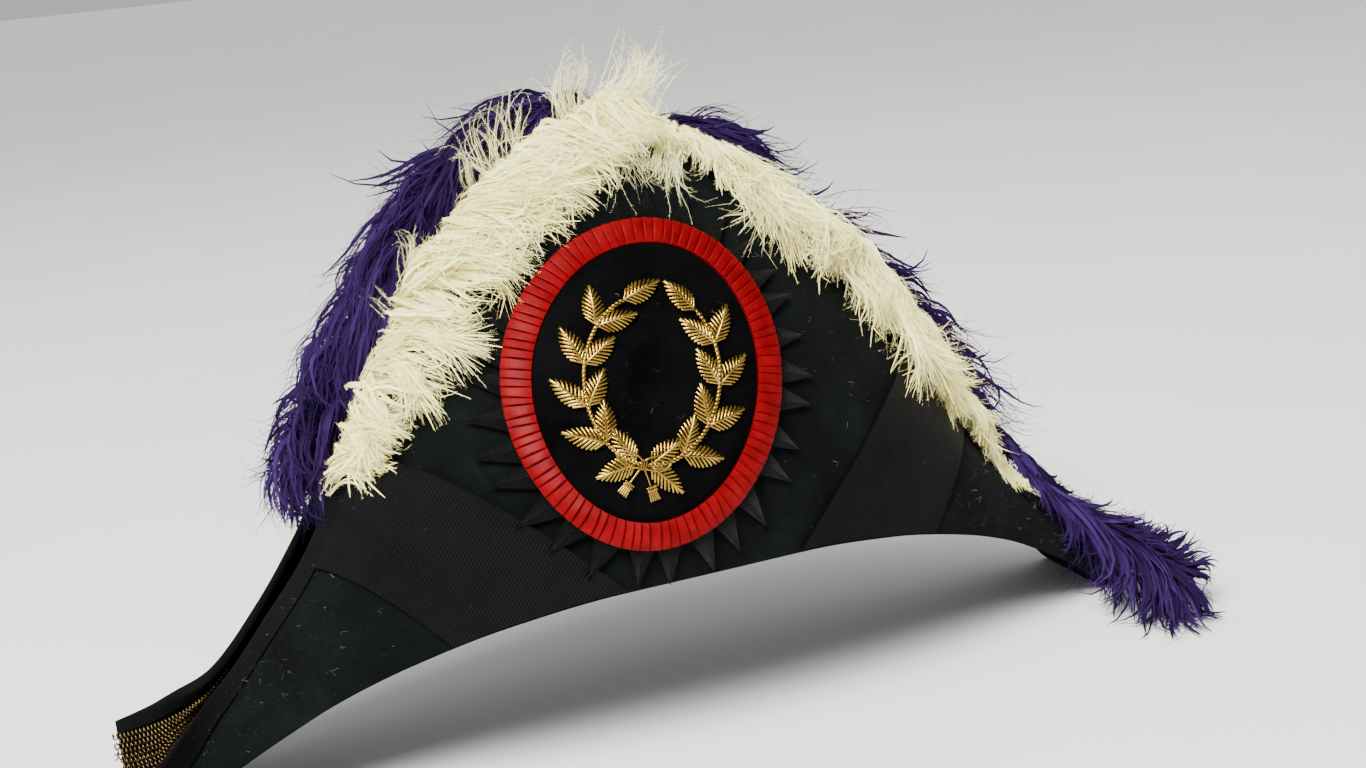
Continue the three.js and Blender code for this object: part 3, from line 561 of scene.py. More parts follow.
def dome(inset):
    """The crown's outer face moved in by an inset, from its arched rim to its top."""
    around = np.linspace(0, 2 * math.pi, CROWN_SIDES, endpoint=False)[None]
    climb = np.linspace(0, 1, CROWN_ROWS)[:, None] * math.pi / 2
    power = 2 / CROWN_ROUNDNESS
    radius = np.maximum(np.cos(climb), 0) ** power
    up = np.sin(climb) ** power * (CROWN_HEIGHT - inset)
    x = (CROWN_LENGTH - inset) * radius * np.cos(around)
    y = (CROWN_WIDTH - inset) * radius * np.sin(around)
    arch = (rim_z(np.abs(x)) - rim_z(0)) * (1 - up / CROWN_HEIGHT)
    points = np.stack([x, y, rim_z(0) + up + arch], -1)
    points[..., 2] += CROWN_UNEVEN * waves(points, scale=60, seed=5) * up / CROWN_HEIGHT
    return points


def crown():
    shape = Shape()
    outer, inner = dome(0), dome(CROWN_FELT)
    shape.grid(outer, ring=True)
    shape.grid(inner, ring=True)
    shape.wall(inner[0], outer[0], ring=True)
    shape.piece("felt_crown", FELT_LOOK, ["crown"], weld=True)


def binding(side, name, node):
    """Ribbon folded over a leaf's edge; its cross-section is a rounded hook."""
    shape = Shape()
    x = np.linspace(-TIP_X, TIP_X, BINDING_STATIONS)[:, None]
    outer, inner = leaf_controls(x), inner_controls(x, FELT)
    long = slant(x)
    up = unit(outer[2] - bezier2(outer, 1 - BINDING_OUTER / long))
    away = np.stack([up[..., 1], -up[..., 0]], -1)

    def hook(height):
        legs = [bezier2(outer, 1 - BINDING_OUTER * (1 - k / OUTER_STEPS) / long) + away * height
                for k in range(OUTER_STEPS)]
        middle = (outer[2] + inner[2]) / 2
        half = FELT / 2 + height
        legs += [middle + away * half * math.cos(a) + up * height * 1.2 * math.sin(a)
                 for a in np.linspace(0, math.pi, FOLD_STEPS)]
        legs += [bezier2(inner, 1 - BINDING_INNER * k / INNER_STEPS / long) - away * height
                 for k in range(1, INNER_STEPS + 1)]
        return np.concatenate(legs, 1)

    loop = np.concatenate([hook(BINDING_GAP + CLOTH), hook(BINDING_GAP)[:, ::-1]], 1)
    points = in_section(x, loop, side)
    ripple = waves(points, scale=30, seed=11)[..., None] * np.array([0, BINDING_RIPPLE, BINDING_RIPPLE])
    width = np.linspace(0, BINDING_GIRTH, loop.shape[1])
    uv = np.stack(np.broadcast_arrays(width[None], run_along(points[:, 0])[:, None]), -1)
    strip = points + ripple
    shape.grid(strip, uv=uv, ring=True)
    half = loop.shape[1] // 2
    for end in (0, -1):
        shape.wall(strip[end, :half], strip[end, :half - 1:-1])
    shape.piece(name, BINDING_LOOK, [node], weld=True)


def ribbon(side, name, node):
    """Ribbed band up the near leaf; side is -1 on the left and 1 on the right."""
    shape = Shape()
    across = np.linspace(0, 1, RIBBON_COLUMNS)
    start = RIBBON_INNER.start + (RIBBON_OUTER.start - RIBBON_INNER.start) * across
    lean = RIBBON_INNER.lean + (RIBBON_OUTER.lean - RIBBON_INNER.lean) * across
    # Steps towards the length at which each thread meets the binding
    long = np.zeros_like(start)
    for _ in range(60):
        long += 0.3 * (slant(start + lean * long) - BINDING_OUTER - RIBBON_EDGE_GAP - long)
    up = np.linspace(RIBBON_FOOT, 1, RIBBON_ROWS)[:, None] * long
    x = side * (start + lean * up)
    uv = np.stack([side * x - up, side * x + up], -1) * math.sqrt(0.5)
    uneven = RIBBON_UNEVEN * waves(np.stack([x, up, 0 * x], -1), scale=26, seed=17)
    lift = RIBBON_LIFT + RIBBON_CURL * np.abs(2 * across - 1) ** 6 + uneven
    top = on_leaf(x, up, NEAR, lift + CLOTH)
    base = on_leaf(x, up, NEAR, RIBBON_LIFT * 0.5)
    for face in (top, base):
        shape.grid(face, uv=uv)
    for end in (0, -1):
        shape.wall(top[end], base[end])
        shape.wall(top[:, end], base[:, end])
    shape.piece(name, RIBBON_LOOK, [node], weld=True)


# Rosette

POINT_HALF_BASE, POINT_ROOT, POINT_SKEW, POINT_STAGGER = 8.2, 9.0, -3.6, 0.25
POINT_EDGE, POINT_OVER, POINT_UNDER = 0.35, 1.3, 0.85
POINT_ROWS, POINT_COLUMNS = 7, 6
PleatStep = namedtuple("PleatStep", "share height shade")
# Across a pleat, from behind the last fold to its own fold: share of its width, height, and shade, whose low
# values paint shade into the creases
PLEAT_PROFILE = [PleatStep(*row) for row in (
    (0.0, 0.0, 0.0), (0.04, 0.12, 0.15), (0.2, 0.3, 0.9), (0.5, 0.58, 1.0),
    (0.8, 0.86, 1.0), (0.93, 1.0, 1.0), (0.985, 0.9, 0.8), (0.999, 0.4, 0.1),
)]
PLEAT_ROWS, PLEAT_BODY, PLEAT_ARCH, PLEAT_RISE = 9, 0.7, 0.9, 1.15
OVAL_SIDES, OVAL_GAP, OVAL_EDGE_DROP = 96, 0.2, 1.8


def oval_angles(count, radii):
    """Angles that are evenly spaced along an oval rather than round its centre."""
    fine = np.linspace(0, 2 * math.pi, 2001)
    run = run_along(np.stack([radii[0] * np.cos(fine), radii[1] * np.sin(fine)], -1))
    return np.interp(np.linspace(0, run[-1], count, endpoint=False), run, fine)


def folded_half(edge, ridge, tip, high):
    """Half of a folded point: flat places from its edge to its ridge, and how far they rise."""
    steps = np.linspace(0, 1, POINT_ROWS)[:, None]
    share = np.linspace(0, 1, POINT_COLUMNS)[None, :, None]
    outer, inner = edge * (1 - steps) + tip * steps, ridge * (1 - steps) + tip * steps
    flat = outer[:, None] * (1 - share) + inner[:, None] * share
    return flat, POINT_EDGE + (high - POINT_EDGE) * share[..., 0] ** 2 * (1 - 0.6 * steps)


def rosette_points():
    """Folded ribbon points: each is a strip folded to a triangle, one half lying over the other."""
    rng = np.random.default_rng(21)
    shape = Shape()
    for k, angle in enumerate(oval_angles(POINT_COUNT, RING_OUTER)):
        middle = RING_OUTER * [math.cos(angle), math.sin(angle)]
        outwards = unit(middle / RING_OUTER ** 2)
        sideways = np.array([-outwards[1], outwards[0]])
        reach = POINT_REACH * rng.uniform(0.9, 1.08)
        tip = middle + outwards * reach + sideways * (POINT_SKEW + rng.normal(0, 1.6))
        root = middle - outwards * POINT_ROOT
        ridge = root + sideways * rng.normal(0, 0.8)
        base = ROSETTE_LIFT + POINT_STAGGER * (k % 2)
        tops = []
        for way, high in ((-1, POINT_OVER), (1, POINT_UNDER)):
            flat, rise = folded_half(root + sideways * way * POINT_HALF_BASE, ridge, tip, high)
            top = on_rosette(flat[..., 0], flat[..., 1], base + rise)
            under = on_rosette(flat[..., 0], flat[..., 1], base * 0.9)
            uv = (flat - root) @ np.stack([sideways, outwards], 1)
            tone = rng.uniform(0.3, 0.7)
            for face in (top, under):
                shape.grid(face, uv=uv, tone=tone)
            shape.wall(top[:, 0], under[:, 0], tone=tone)
            shape.wall(top[0], under[0], tone=tone)
            tops.append(top)
        shape.wall(tops[0][:, -1], tops[1][:, -1], tone=tone)
    shape.piece("folded_points", POINT_LOOK, ["rosette_points"], smooth=False, weld=True)


def rosette_pleats():
    """Knife pleats: each rises to its fold and drops behind it, a little uneven as hand-laid pleats are."""
    rng = np.random.default_rng(4)
    shape = Shape()
    angles = oval_angles(PLEAT_COUNT, (RING_OUTER + RING_INNER) / 2)
    gaps = np.append(np.diff(angles), 2 * math.pi + angles[0] - angles[-1])
    angles = angles + gaps * rng.uniform(-0.14, 0.14, PLEAT_COUNT)
    lean = rng.normal(0, 0.12, PLEAT_COUNT)
    top = rng.uniform(0.85, 1.1, PLEAT_COUNT)
    rows = np.linspace(0, 1, PLEAT_ROWS)
    columns, heights, tones = [], [], []
    for k in range(PLEAT_COUNT):
        width = (angles[(k + 1) % PLEAT_COUNT] - angles[k]) % (2 * math.pi)
        for step in PLEAT_PROFILE:
            slide = lean[k] * width * (rows - 0.5) * (0.2 + step.share)
            columns.append(angles[k] + step.share * width + slide)
            heights.append(step.height * top[k] * (1 + 0.15 * np.sin(3 * rows + k)))
            # Each step's shade goes into the tone, which paints shade into the creases
            tones.append(np.full(len(rows), step.shade))
    angle, rise, tone = (np.array(values).T for values in (columns, heights, tones))
    radii = RING_INNER + (RING_OUTER - RING_INNER) * rows[:, None]
    arch = np.sin(math.pi * np.clip(rows * 0.92 + 0.04, 0, 1))[:, None] ** 0.6
    height = RING_BASE + PLEAT_BODY + PLEAT_ARCH * arch + PLEAT_RISE * rise * (0.35 + 0.65 * arch)
    p, q = radii[:, :1] * np.cos(angle), radii[:, 1:] * np.sin(angle)
    upper, lower = on_rosette(p, q, height), on_rosette(p, q, RING_BASE)
    shape.grid(upper, tone=tone, ring=True, flip=True)
    for one_edge, other_edge in ((lower[0], upper[0]), (upper[-1], lower[-1]), (lower[-1], lower[0])):
        shape.wall(one_edge, other_edge, tone=0.4, ring=True, flip=True)
    shape.piece("pleated_ring", SATIN_LOOK, ["rosette_pleats"])


def rosette_oval():
    shape = Shape()
    around = np.linspace(0, 2 * math.pi, OVAL_SIDES, endpoint=False)[None]
    share = np.concatenate([np.linspace(0.01, 0.94, 18), [0.97, 0.99, 1.0]])[:, None]
    height = VELVET_TOP - OVAL_EDGE_DROP * np.clip((share - 0.9) / 0.1, 0, 1) ** 2
    radii = RING_INNER - OVAL_GAP
    p, q = radii[0] * share * np.cos(around), radii[1] * share * np.sin(around)
    upper, lower = on_rosette(p, q, height), on_rosette(p, q, RING_BASE)
    for face in (upper, lower):
        shape.grid(face, ring=True)
        shape.add(face[0], [np.arange(OVAL_SIDES)])
    shape.wall(upper[-1], lower[-1], ring=True)
    oval = shape.piece("velvet_oval", VELVET_LOOK, ["rosette_oval"], weld=True)


# Bullion

WREATH_WIDTH, WREATH_HEIGHT = 25.0, 32.0
WREATH_START, WREATH_END, STEM_PAST_KNOT = math.radians(-84), math.radians(58), 0.12
WREATH_BASE = VELVET_TOP + 0.3
LEAF_PAIRS, LEAF_LENGTH, LEAF_WIDTH, LEAF_SPREAD = 5, 16.0, 8.0, math.radians(38)
LEAF_COILS, LEAF_PAD = 9, 1.5
PURL_RADIUS, PURL_PITCH, PURL_SIDES = 0.7, 0.62, 5
STEM_RADIUS, STEM_TWIST, STEPS_PER_TWIST = 0.95, 3.2, 8
BOW_LENGTH, BOW_WIDTH, CORD_LENGTH, SKIRT_LENGTH = 5.2, 2.5, 8.5, 5.0
KNOT = np.array([0, -WREATH_HEIGHT])
TASSEL_FROM, TASSEL_TO, TASSEL_DEPTH, TASSEL_LIFT = 180.0, 226.0, 20.0, 0.9
FACE_STRANDS, BOTTOM_STRANDS, STRAND_STEPS, STEPS_PAST_TIP = 10, 12, 60, 4
NARROW_COIL, WIDE_COIL, WIRE_RADIUS, COIL_PITCH, STEPS_PER_COIL = 0.85, 1.25, 0.32, 1.7, 7


def purl(shape, centres, radius, pitch, tone=0.5):
    """A close coil of fine wire: a tube whose radius follows its turns."""
    centres = np.asarray(centres, float)
    long = run_along(centres)[-1]
    at = np.linspace(0, long, 2 * max(int(round(long / pitch)), 2) + 1)
    ribs = np.where(np.arange(len(at)) % 2, 1.0, 0.6)
    ribs[[0, -1]] = 0.35
    shape.tube(resampled(centres, at), radius * ribs, PURL_SIDES, tone)


def bullion_leaf(shape, start, angle, rng):
    """A padded leaf: short coils slantwise from the midrib to both edges, and a coil along the midrib."""
    along = np.array([math.cos(angle), math.sin(angle)])
    sideways = np.array([-along[1], along[0]])

    def place(t, w, lift):
        flat = start + along * t * LEAF_LENGTH + sideways * w
        return on_rosette(flat[0], flat[1], WREATH_BASE + lift)

    def padding(t):
        return LEAF_PAD * math.sin(math.pi * t) ** 0.5

    for sign in (-1, 1):
        for k in range(LEAF_COILS):
            t = 0.04 + 0.84 * k / LEAF_COILS
            reach = min(t + 0.2, 0.99)
            half_width = LEAF_WIDTH / 2 * math.sin(math.pi * reach ** 0.8) ** 0.85
            edge = sign * max(half_width, 0.35)
            line = [place(t + (reach - t) * s, edge * s, 0.5 + padding(t) * (1 - s ** 2))
                    for s in np.linspace(0, 1, 4)]
            purl(shape, line, PURL_RADIUS * rng.uniform(0.92, 1.06), PURL_PITCH, tone=rng.uniform(0.3, 0.8))
    rib = [place(t, 0, 0.7 + padding(t)) for t in np.linspace(0.0, 0.97, 8)]
    purl(shape, rib, PURL_RADIUS * 0.9, PURL_PITCH)


def twisted_cord(shape, line):
    """Two strands twisted round a line of points."""
    long = run_along(line)[-1]
    at = np.linspace(0, long, max(int(long / STEM_TWIST * STEPS_PER_TWIST), STEPS_PER_TWIST))
    centre = resampled(line, at)
    for phase in (0, math.pi):
        strand = wound(centre, at, STEM_TWIST, phase, STEM_RADIUS * 0.55, [0, 1.0, 0.2])
        shape.tube(strand, STEM_RADIUS * 0.62, 6)


def on_wreath(mirror, angle):
    return np.array([mirror * WREATH_WIDTH * math.cos(angle), WREATH_HEIGHT * math.sin(angle)])


def laid(points, lift):
    points = np.asarray(points)
    return on_rosette(points[:, 0], points[:, 1], WREATH_BASE + lift)


def laurel_branch(shape, mirror, rng):
    stem = [on_wreath(mirror, a) for a in np.linspace(WREATH_START - STEM_PAST_KNOT, WREATH_END, 30)]
    twisted_cord(shape, laid(stem, 1.0))
    for k, angle in enumerate(np.linspace(WREATH_START, WREATH_END, LEAF_PAIRS + 1)):
        start = on_wreath(mirror, angle)
        ahead = on_wreath(mirror, angle + 0.02) - start
        heading = math.atan2(ahead[1], ahead[0])
        for turn in (0.0,) if k == LEAF_PAIRS else (-LEAF_SPREAD, LEAF_SPREAD):
            bullion_leaf(shape, start, heading + turn, rng)


def bow_and_cord(shape, mirror):
    """One loop of the bow, and the cord and small tassel that hang from it."""
    axis = np.array([mirror * 0.97, 0.25])
    normal = np.array([-axis[1], axis[0]])
    bow = [KNOT + axis * BOW_LENGTH * (1 - math.cos(a)) + normal * BOW_WIDTH * math.sin(a)
           for a in np.linspace(0, 2 * math.pi, 26)]
    purl(shape, laid(bow, 1.5), 0.6, 0.55)
    down = np.array([mirror * 0.48, -0.88])
    side = np.array([-down[1], down[0]])
    end = KNOT + down * CORD_LENGTH
    purl(shape, laid([KNOT + down * d for d in np.linspace(0, CORD_LENGTH, 8)], 0.9), 0.5, 0.5)
    for offset in np.linspace(-1.7, 1.7, 5):
        strand = [end + side * offset * (0.65 + 0.35 * s) + down * SKIRT_LENGTH * s
                  for s in np.linspace(0, 1, 4)]
        purl(shape, laid(strand, 1.0), 0.5, 0.5)
    for step in (0.0, 1.1):
        band = [end + down * step + side * w for w in np.linspace(-2.0, 2.0, 5)]
        purl(shape, laid(band, 1.7), 0.55, 0.5)


def wreath():
    """Two laurel branches in gold bullion, tied with a bow and two tasselled cords."""
    rng = np.random.default_rng(9)
    shape = Shape()
    for mirror in (-1, 1):
        laurel_branch(shape, mirror, rng)
        bow_and_cord(shape, mirror)
    for offset in (-0.84, 0, 0.84):
        tie = [KNOT + np.array([offset, w]) for w in np.linspace(-2.0, 2.0, 6)]
        purl(shape, laid(tie, 2.2), 0.6, 0.5)
    shape.piece("bullion_wreath", GOLD_LOOK, ["rosette_wreath"])


def tip_strands(end):
    """Lines side by side from one leaf's inner face across the tip to the other's."""
    x = np.linspace(TASSEL_FROM, TASSEL_TO, STRAND_STEPS)
    inner = inner_controls(x, FELT + TASSEL_LIFT + WIDE_COIL)
    long = np.linalg.norm(inner[2] - inner[0], axis=-1)
    below = BINDING_INNER + 1.2
    low_share = np.minimum((below + TASSEL_DEPTH) / long, 0.985)
    lines = []
    for side in (NEAR, FAR):
        for k in range(FACE_STRANDS):
            depth = below / long + (low_share - below / long) * k / (FACE_STRANDS - 1)
            lines.append(in_section(end * x, bezier2(inner, 1 - depth), side))
    foot = bezier2(inner, 1 - low_share)
    for k in range(1, BOTTOM_STRANDS):
        lines.append(in_section(end * x, foot * [1 - 2 * k / BOTTOM_STRANDS, 1], FAR))
    return lines


def tip_tassel(end, name, node):
    """Coiled bullion strands in a tip, a little longer than the felt."""
    rng = np.random.default_rng(31 + end)
    shape = Shape()
    for line in tip_strands(end):
        past_tip = line[-1] + (line[-1] - line[-2]) * np.arange(1, STEPS_PAST_TIP + 1)[:, None]
        line = np.concatenate([line, past_tip])
        line = line[:len(line) - rng.integers(0, 3)]
        line = line + waves(line, scale=12, seed=int(rng.integers(1000)))[:, None] * [0, 0.25, 0.25]
        long = run_along(line)[-1]
        at = np.linspace(0, long, int(long / COIL_PITCH * STEPS_PER_COIL))
        radius = np.linspace(NARROW_COIL, WIDE_COIL, len(at))[:, None]
        coil = wound(resampled(line, at), at, COIL_PITCH, rng.uniform(0, 6), radius, [0, 0, 1.0])
        shape.tube(coil, WIRE_RADIUS, 4, tone=rng.uniform(0.3, 0.7))
    shape.piece(name, TASSEL_LOOK, [node])


# Ostrich plumes

WhiteRow = namedtuple("WhiteRow", "x reach sweep puff lift hold")
# White plume by place on the near edge: reach down the leaf, sweep along the edge in degrees, puff off
# the leaf, lift of the fluff above the edge, and how much of that lift the ends of the barbs keep
WHITE_ROWS = [WhiteRow(*row) for row in (
    (-131, 15, -6, 8, 4, 0), (-118, 25, 6, 10, 5, 0), (-100, 34, 16, 12, 7, 0), (-80, 34, 26, 13, 10, 0),
    (-50, 31, 40, 13, 8, 0), (-22, 19, 50, 12, 8, 0), (-5, 12, 52, 10, 13, 0), (12, 13, 30, 8, 6, 0),
    (28, 19, 22, 9, 1, 0), (45, 32, 28, 13, 0, 0), (65, 37, 38, 14, 3, 0), (90, 33, 46, 14, 12, 1),
    (115, 24, 54, 11, 13, 2), (135, 15, 60, 8, 11, 2), (155, 7, 68, 4, 7, 1), (172, 3, 74, 2, 3, 0),
    (186, 2, 78, 1, 2, 0),
)]
WHITE_LEFT_DENSITY = [(-131, 0.7), (-118, 1.0), (8, 1.0)]
WHITE_RIGHT_DENSITY = [(-3, 1.0), (125, 1.0), (150, 0.6), (168, 0.3), (184, 0.1)]
PurpleRow = namedtuple("PurpleRow", "x reach sweep front back lift")
# Purple plume by place on the far edge: reach above its shaft, sweep along the edge in millimetres,
# puff towards the front and the back, and lift of the shaft above the edge
PURPLE_ROWS = [PurpleRow(*row) for row in (
    (-146, 20, -14, 26, 13, 2), (-128, 25, -26, 29, 15, 3), (-105, 29, -34, 28, 17, 4),
    (-80, 30, -40, 24, 18, 4), (-58, 29, -42, 20, 18, 4), (-42, 27, -42, 18, 18, 4),
    (-20, 24, -38, 16, 17, 4), (-6, 19, -32, 12, 14, 3),
    (12, 4, 34, 9, 9, 0), (32, 11, 40, 11, 11, 2), (56, 20, 40, 12, 12, 5), (72, 9, 38, 11, 9, 4),
    (84, 7, 36, 11, 9, 4), (95, 19, 36, 12, 10, 7), (112, 21, 34, 13, 10, 9), (128, 29, 30, 14, 10, 11),
    (148, 26, 28, 14, 9, 11), (160, 13, 26, 9, 6, 6), (175, 10, 22, 7, 5, 4), (190, 8, 18, 6, 5, 3),
)]
# How thickly purple barbs stand along the far edge
LEFT_DENSITY = [(-131, 1.2), (-110, 1.1), (-20, 1.0), (6, 1.2)]
RIGHT_DENSITY = [
    (16, 0.5), (30, 1.5), (56, 1.6), (66, 0.6), (84, 0.6), (94, 1.0), (104, 0.7), (114, 0.8), (124, 1.5),
    (150, 1.5), (172, 0.9)]
# The shaft of the end that droops over the right tip
SHAFT = np.array([
    (150, 12, 103), (166, 7, 89), (180, -4, 70), (193, -18, 49), (205, -36, 37), (214, -52, 29),
    (224, -63, 20)], float)
# Where a loose tuft springs from an edge and how high, the way it points (along the edge, upright, back),
# its length and barbs
Tuft = namedtuple("Tuft", "x spread rise along upright back length count")
WHITE_TUFTS_LEFT = [Tuft(*row) for row in (
    (-10, 9, 6, 0.4, 1.0, 0.0, 29, 60), (-46, 17, 6, 0.35, 0.9, 0.2, 28, 50),
    (-86, 18, 5, 0.3, 0.8, 0.2, 25, 20), (-16, 14, 4, 0.6, -1.0, -0.3, 24, 80))]
WHITE_TUFTS_RIGHT = [Tuft(*row) for row in (
    (5, 9, 7, 0.3, 1.0, 0.0, 32, 80), (18, 10, 4, -0.3, -1.0, -0.3, 27, 110),
    (92, 16, 5, 1.0, 0.6, 0.2, 30, 40), (125, 25, 5, 1.0, 0.35, 0.1, 26, 34))]
PURPLE_TUFTS_LEFT = [Tuft(*row) for row in (
    (-120, 7, 6, -0.5, 0.85, -0.3, 28, 80), (-125, 5, 6, -0.75, 0.6, -0.5, 28, 90),
    (-128, 4, 5, -1.0, 0.2, -0.6, 23, 90), (-112, 8, 6, -0.35, 0.95, -0.2, 28, 50),
    (-60, 40, 8, -0.5, 1.0, 0.2, 34, 10))]
PURPLE_TUFTS_RIGHT = [Tuft(*row) for row in (
    (46, 11, 7, 1.0, 0.12, -0.1, 38, 150), (92, 6, 14, 1.0, 0.4, 0.0, 30, 90),
    (108, 9, 15, 1.0, 0.35, 0.0, 34, 120), (130, 10, 19, 1.0, 0.25, 0.0, 38, 190),
    (143, 9, 21, 1.0, 0.1, -0.1, 40, 200))]
WHITE_BARBS, PURPLE_LEFT_BARBS, PURPLE_RIGHT_BARBS, HEAD_BARBS = 2700, 2200, 1250, 1450
WISP_BARBS, DOWN_BARBS = 7, 900
WHITE_FACING, PURPLE_FACING = (0, -1, 0.4), (-0.3, -1, 0.3)
OVER_ROSETTE, OVER_POINTS = 6.2, 2.6
BARB_STEPS, BARBULES_PER_BARB = 10, 34
ALONG_BARB = np.linspace(0, 1, BARB_STEPS)[None, :, None]
CURL_START = 0.5
FLOOR_CLEARANCE = 2.2
FURTHEST_FORWARD = -95.0
TOWARDS_BACK = np.array([0, 1.0, 0])


def columns_of(rows):
    xs = [row.x for row in rows]
    return [smooth_column(xs, values) for values in list(zip(*rows))[1:]]


def bezier3(controls):
    a, b, c, d = (np.asarray(p)[:, None] for p in controls)
    t = ALONG_BARB
    return (1 - t) ** 3 * a + 3 * t * (1 - t) ** 2 * b + 3 * t * t * (1 - t) * c + t ** 3 * d


def spread_by(density, count, rng):
    """Random places along an edge, thicker where the density is higher."""
    at, weight = np.array(density, float).T
    fine = np.linspace(at[0], at[-1], 400)
    total = np.cumsum(np.interp(fine, at, weight))
    return np.interp(rng.uniform(0, total[-1], count), total, fine)


def locks(key, rng, barbs_per_lock):
    """The guide barb that each barb follows: the nearest of a random few."""
    guides = rng.choice(len(key), max(len(key) // barbs_per_lock, 1), replace=False)
    return guides[((key[:, None] - key[guides][None]) ** 2).sum(-1).argmin(1)]


def clumped(line, guide, rng, pull):
    """Draws barbs towards their guide, more so at their ends."""
    root = line[:, :1]
    target = root + (line[guide] - root[guide]) + 0.6 * (root[guide] - root)
    share = pull * rng.uniform(0.2, 1.0, (len(line), 1, 1)) * ALONG_BARB ** 1.3
    return line + (target - line) * share


def curled(line, guide, rng, facing, share, most):
    """Winds the ends of some barbs round; facing is the side that their hooks are seen from."""
    count = len(line)
    axis = unit(np.asarray(facing) + rng.normal(0, 0.5, (count, 3)))[:, None]
    strong = rng.uniform(0, 1, count) < share
    turn = np.where(strong, rng.uniform(0.5, 1.0, count) * most, 0.25) * rng.choice([-1, 1], count)
    turn = 0.5 * turn + 0.5 * turn[guide]
    steps = np.diff(line, axis=1)
    t = np.linspace(0, 1, steps.shape[1])[None, :, None]
    turn = turn[:, None, None] * np.clip((t - CURL_START) / (1 - CURL_START), 0, 1) ** 1.4
    turned = (steps * np.cos(turn) + np.cross(axis, steps) * np.sin(turn)
              + axis * (axis * steps).sum(-1, keepdims=True) * (1 - np.cos(turn)))
    return np.concatenate([line[:, :1], line[:, :1] + np.cumsum(turned, axis=1)], axis=1)


def wavy(line, rng, together, alone):
    """Bends barbs: near ones by the same drift, and each one a little by itself."""
    def uneven(scale):
        return waves(line, scale, seed=int(rng.integers(10000)))

    drift = np.stack([uneven(26) for _ in range(3)], -1) * together
    own = uneven(13)[..., None] * rng.normal(0, alone, (len(line), 1, 3))
    return line + (drift + own) * ALONG_BARB


def lock_tones(guide, rng):
    """Light and dark locks, and a little difference between their barbs."""
    tone = rng.normal(0, 0.22, len(guide))
    return np.clip(0.47 + tone[guide] + 0.45 * tone, 0, 1)


def leaf_reach(x, z):
    """How far a leaf's outer face stands from the middle at a height; nothing above its edge."""
    rim, pull, top = leaf_controls(np.clip(x, -TIP_X, TIP_X))
    a = rim[..., 1] - 2 * pull[..., 1] + top[..., 1]
    b = 2 * (pull[..., 1] - rim[..., 1])
    c = rim[..., 1] - z
    a = np.where(np.abs(a) < 1e-6, 1e-6, a)
    t = np.clip((-b + np.sqrt(np.maximum(b * b - 4 * a * c, 0))) / (2 * a), 0, 1)
    return np.where(z < top[..., 1], bezier2((rim, pull, top), t)[..., 0], -1e3)


def rosette_height(x, up):
    """Height of the rosette's pieces over the near leaf at a place on it."""
    over = x - ROSETTE_X
    rise = up - ROSETTE_UP - (rim_z(abs(ROSETTE_X)) - rim_z(np.abs(np.clip(x, -TIP_X, TIP_X))))
    p = over * math.cos(ROSETTE_TILT) - rise * math.sin(ROSETTE_TILT)
    q = over * math.sin(ROSETTE_TILT) + rise * math.cos(ROSETTE_TILT)
    far_out = np.hypot(p / RING_OUTER[0], q / RING_OUTER[1])
    return np.where(far_out < 1.03, OVER_ROSETTE, np.where(far_out < 1.25, OVER_POINTS, 0.0))


def off_near_leaf(line, clearance):
    """Keeps barbs in front of the near leaf and what is sewn on it."""
    x, y, z = np.moveaxis(line, -1, 0)
    up = (z - rim_z(np.abs(np.clip(x, -TIP_X, TIP_X)))) * 1.08
    limit = -(leaf_reach(x, z) + clearance[:, None] + rosette_height(x, up))
    near_root = ALONG_BARB[..., 0] < 0.3
    return np.stack([x, np.where(near_root, y, np.minimum(y, limit)), z], -1)


def barb_strips(shape, line, rng, barb_width, tone):
    """A tapering strip along each line; gives back their directions, their sides and their widths."""
    count, t = len(line), ALONG_BARB
    forward = unit(np.gradient(line, axis=1))
    facing = unit(rng.normal(0, 0.45, (count, 1, 3)) + np.array([-0.2, -1.0, 0.6]))
    sideways = unit(np.cross(forward, facing))
    width = barb_width[:, None, None] * (1 - 0.92 * t ** 2) * np.minimum(0.4 + 2 * t, 1)
    width = np.broadcast_to(width, (count, BARB_STEPS, 1))
    strip = np.stack([line - sideways * width / 2, line + sideways * width / 2], 2)
    index = np.arange(count * BARB_STEPS * 2).reshape(count, BARB_STEPS, 2)
    corners = [index[:, :-1, 0], index[:, 1:, 0], index[:, 1:, 1], index[:, :-1, 1]]
    shape.add(strip, np.stack(corners, -1).reshape(-1, 4), tone=np.repeat(tone, BARB_STEPS * 2))
    return forward, sideways, width


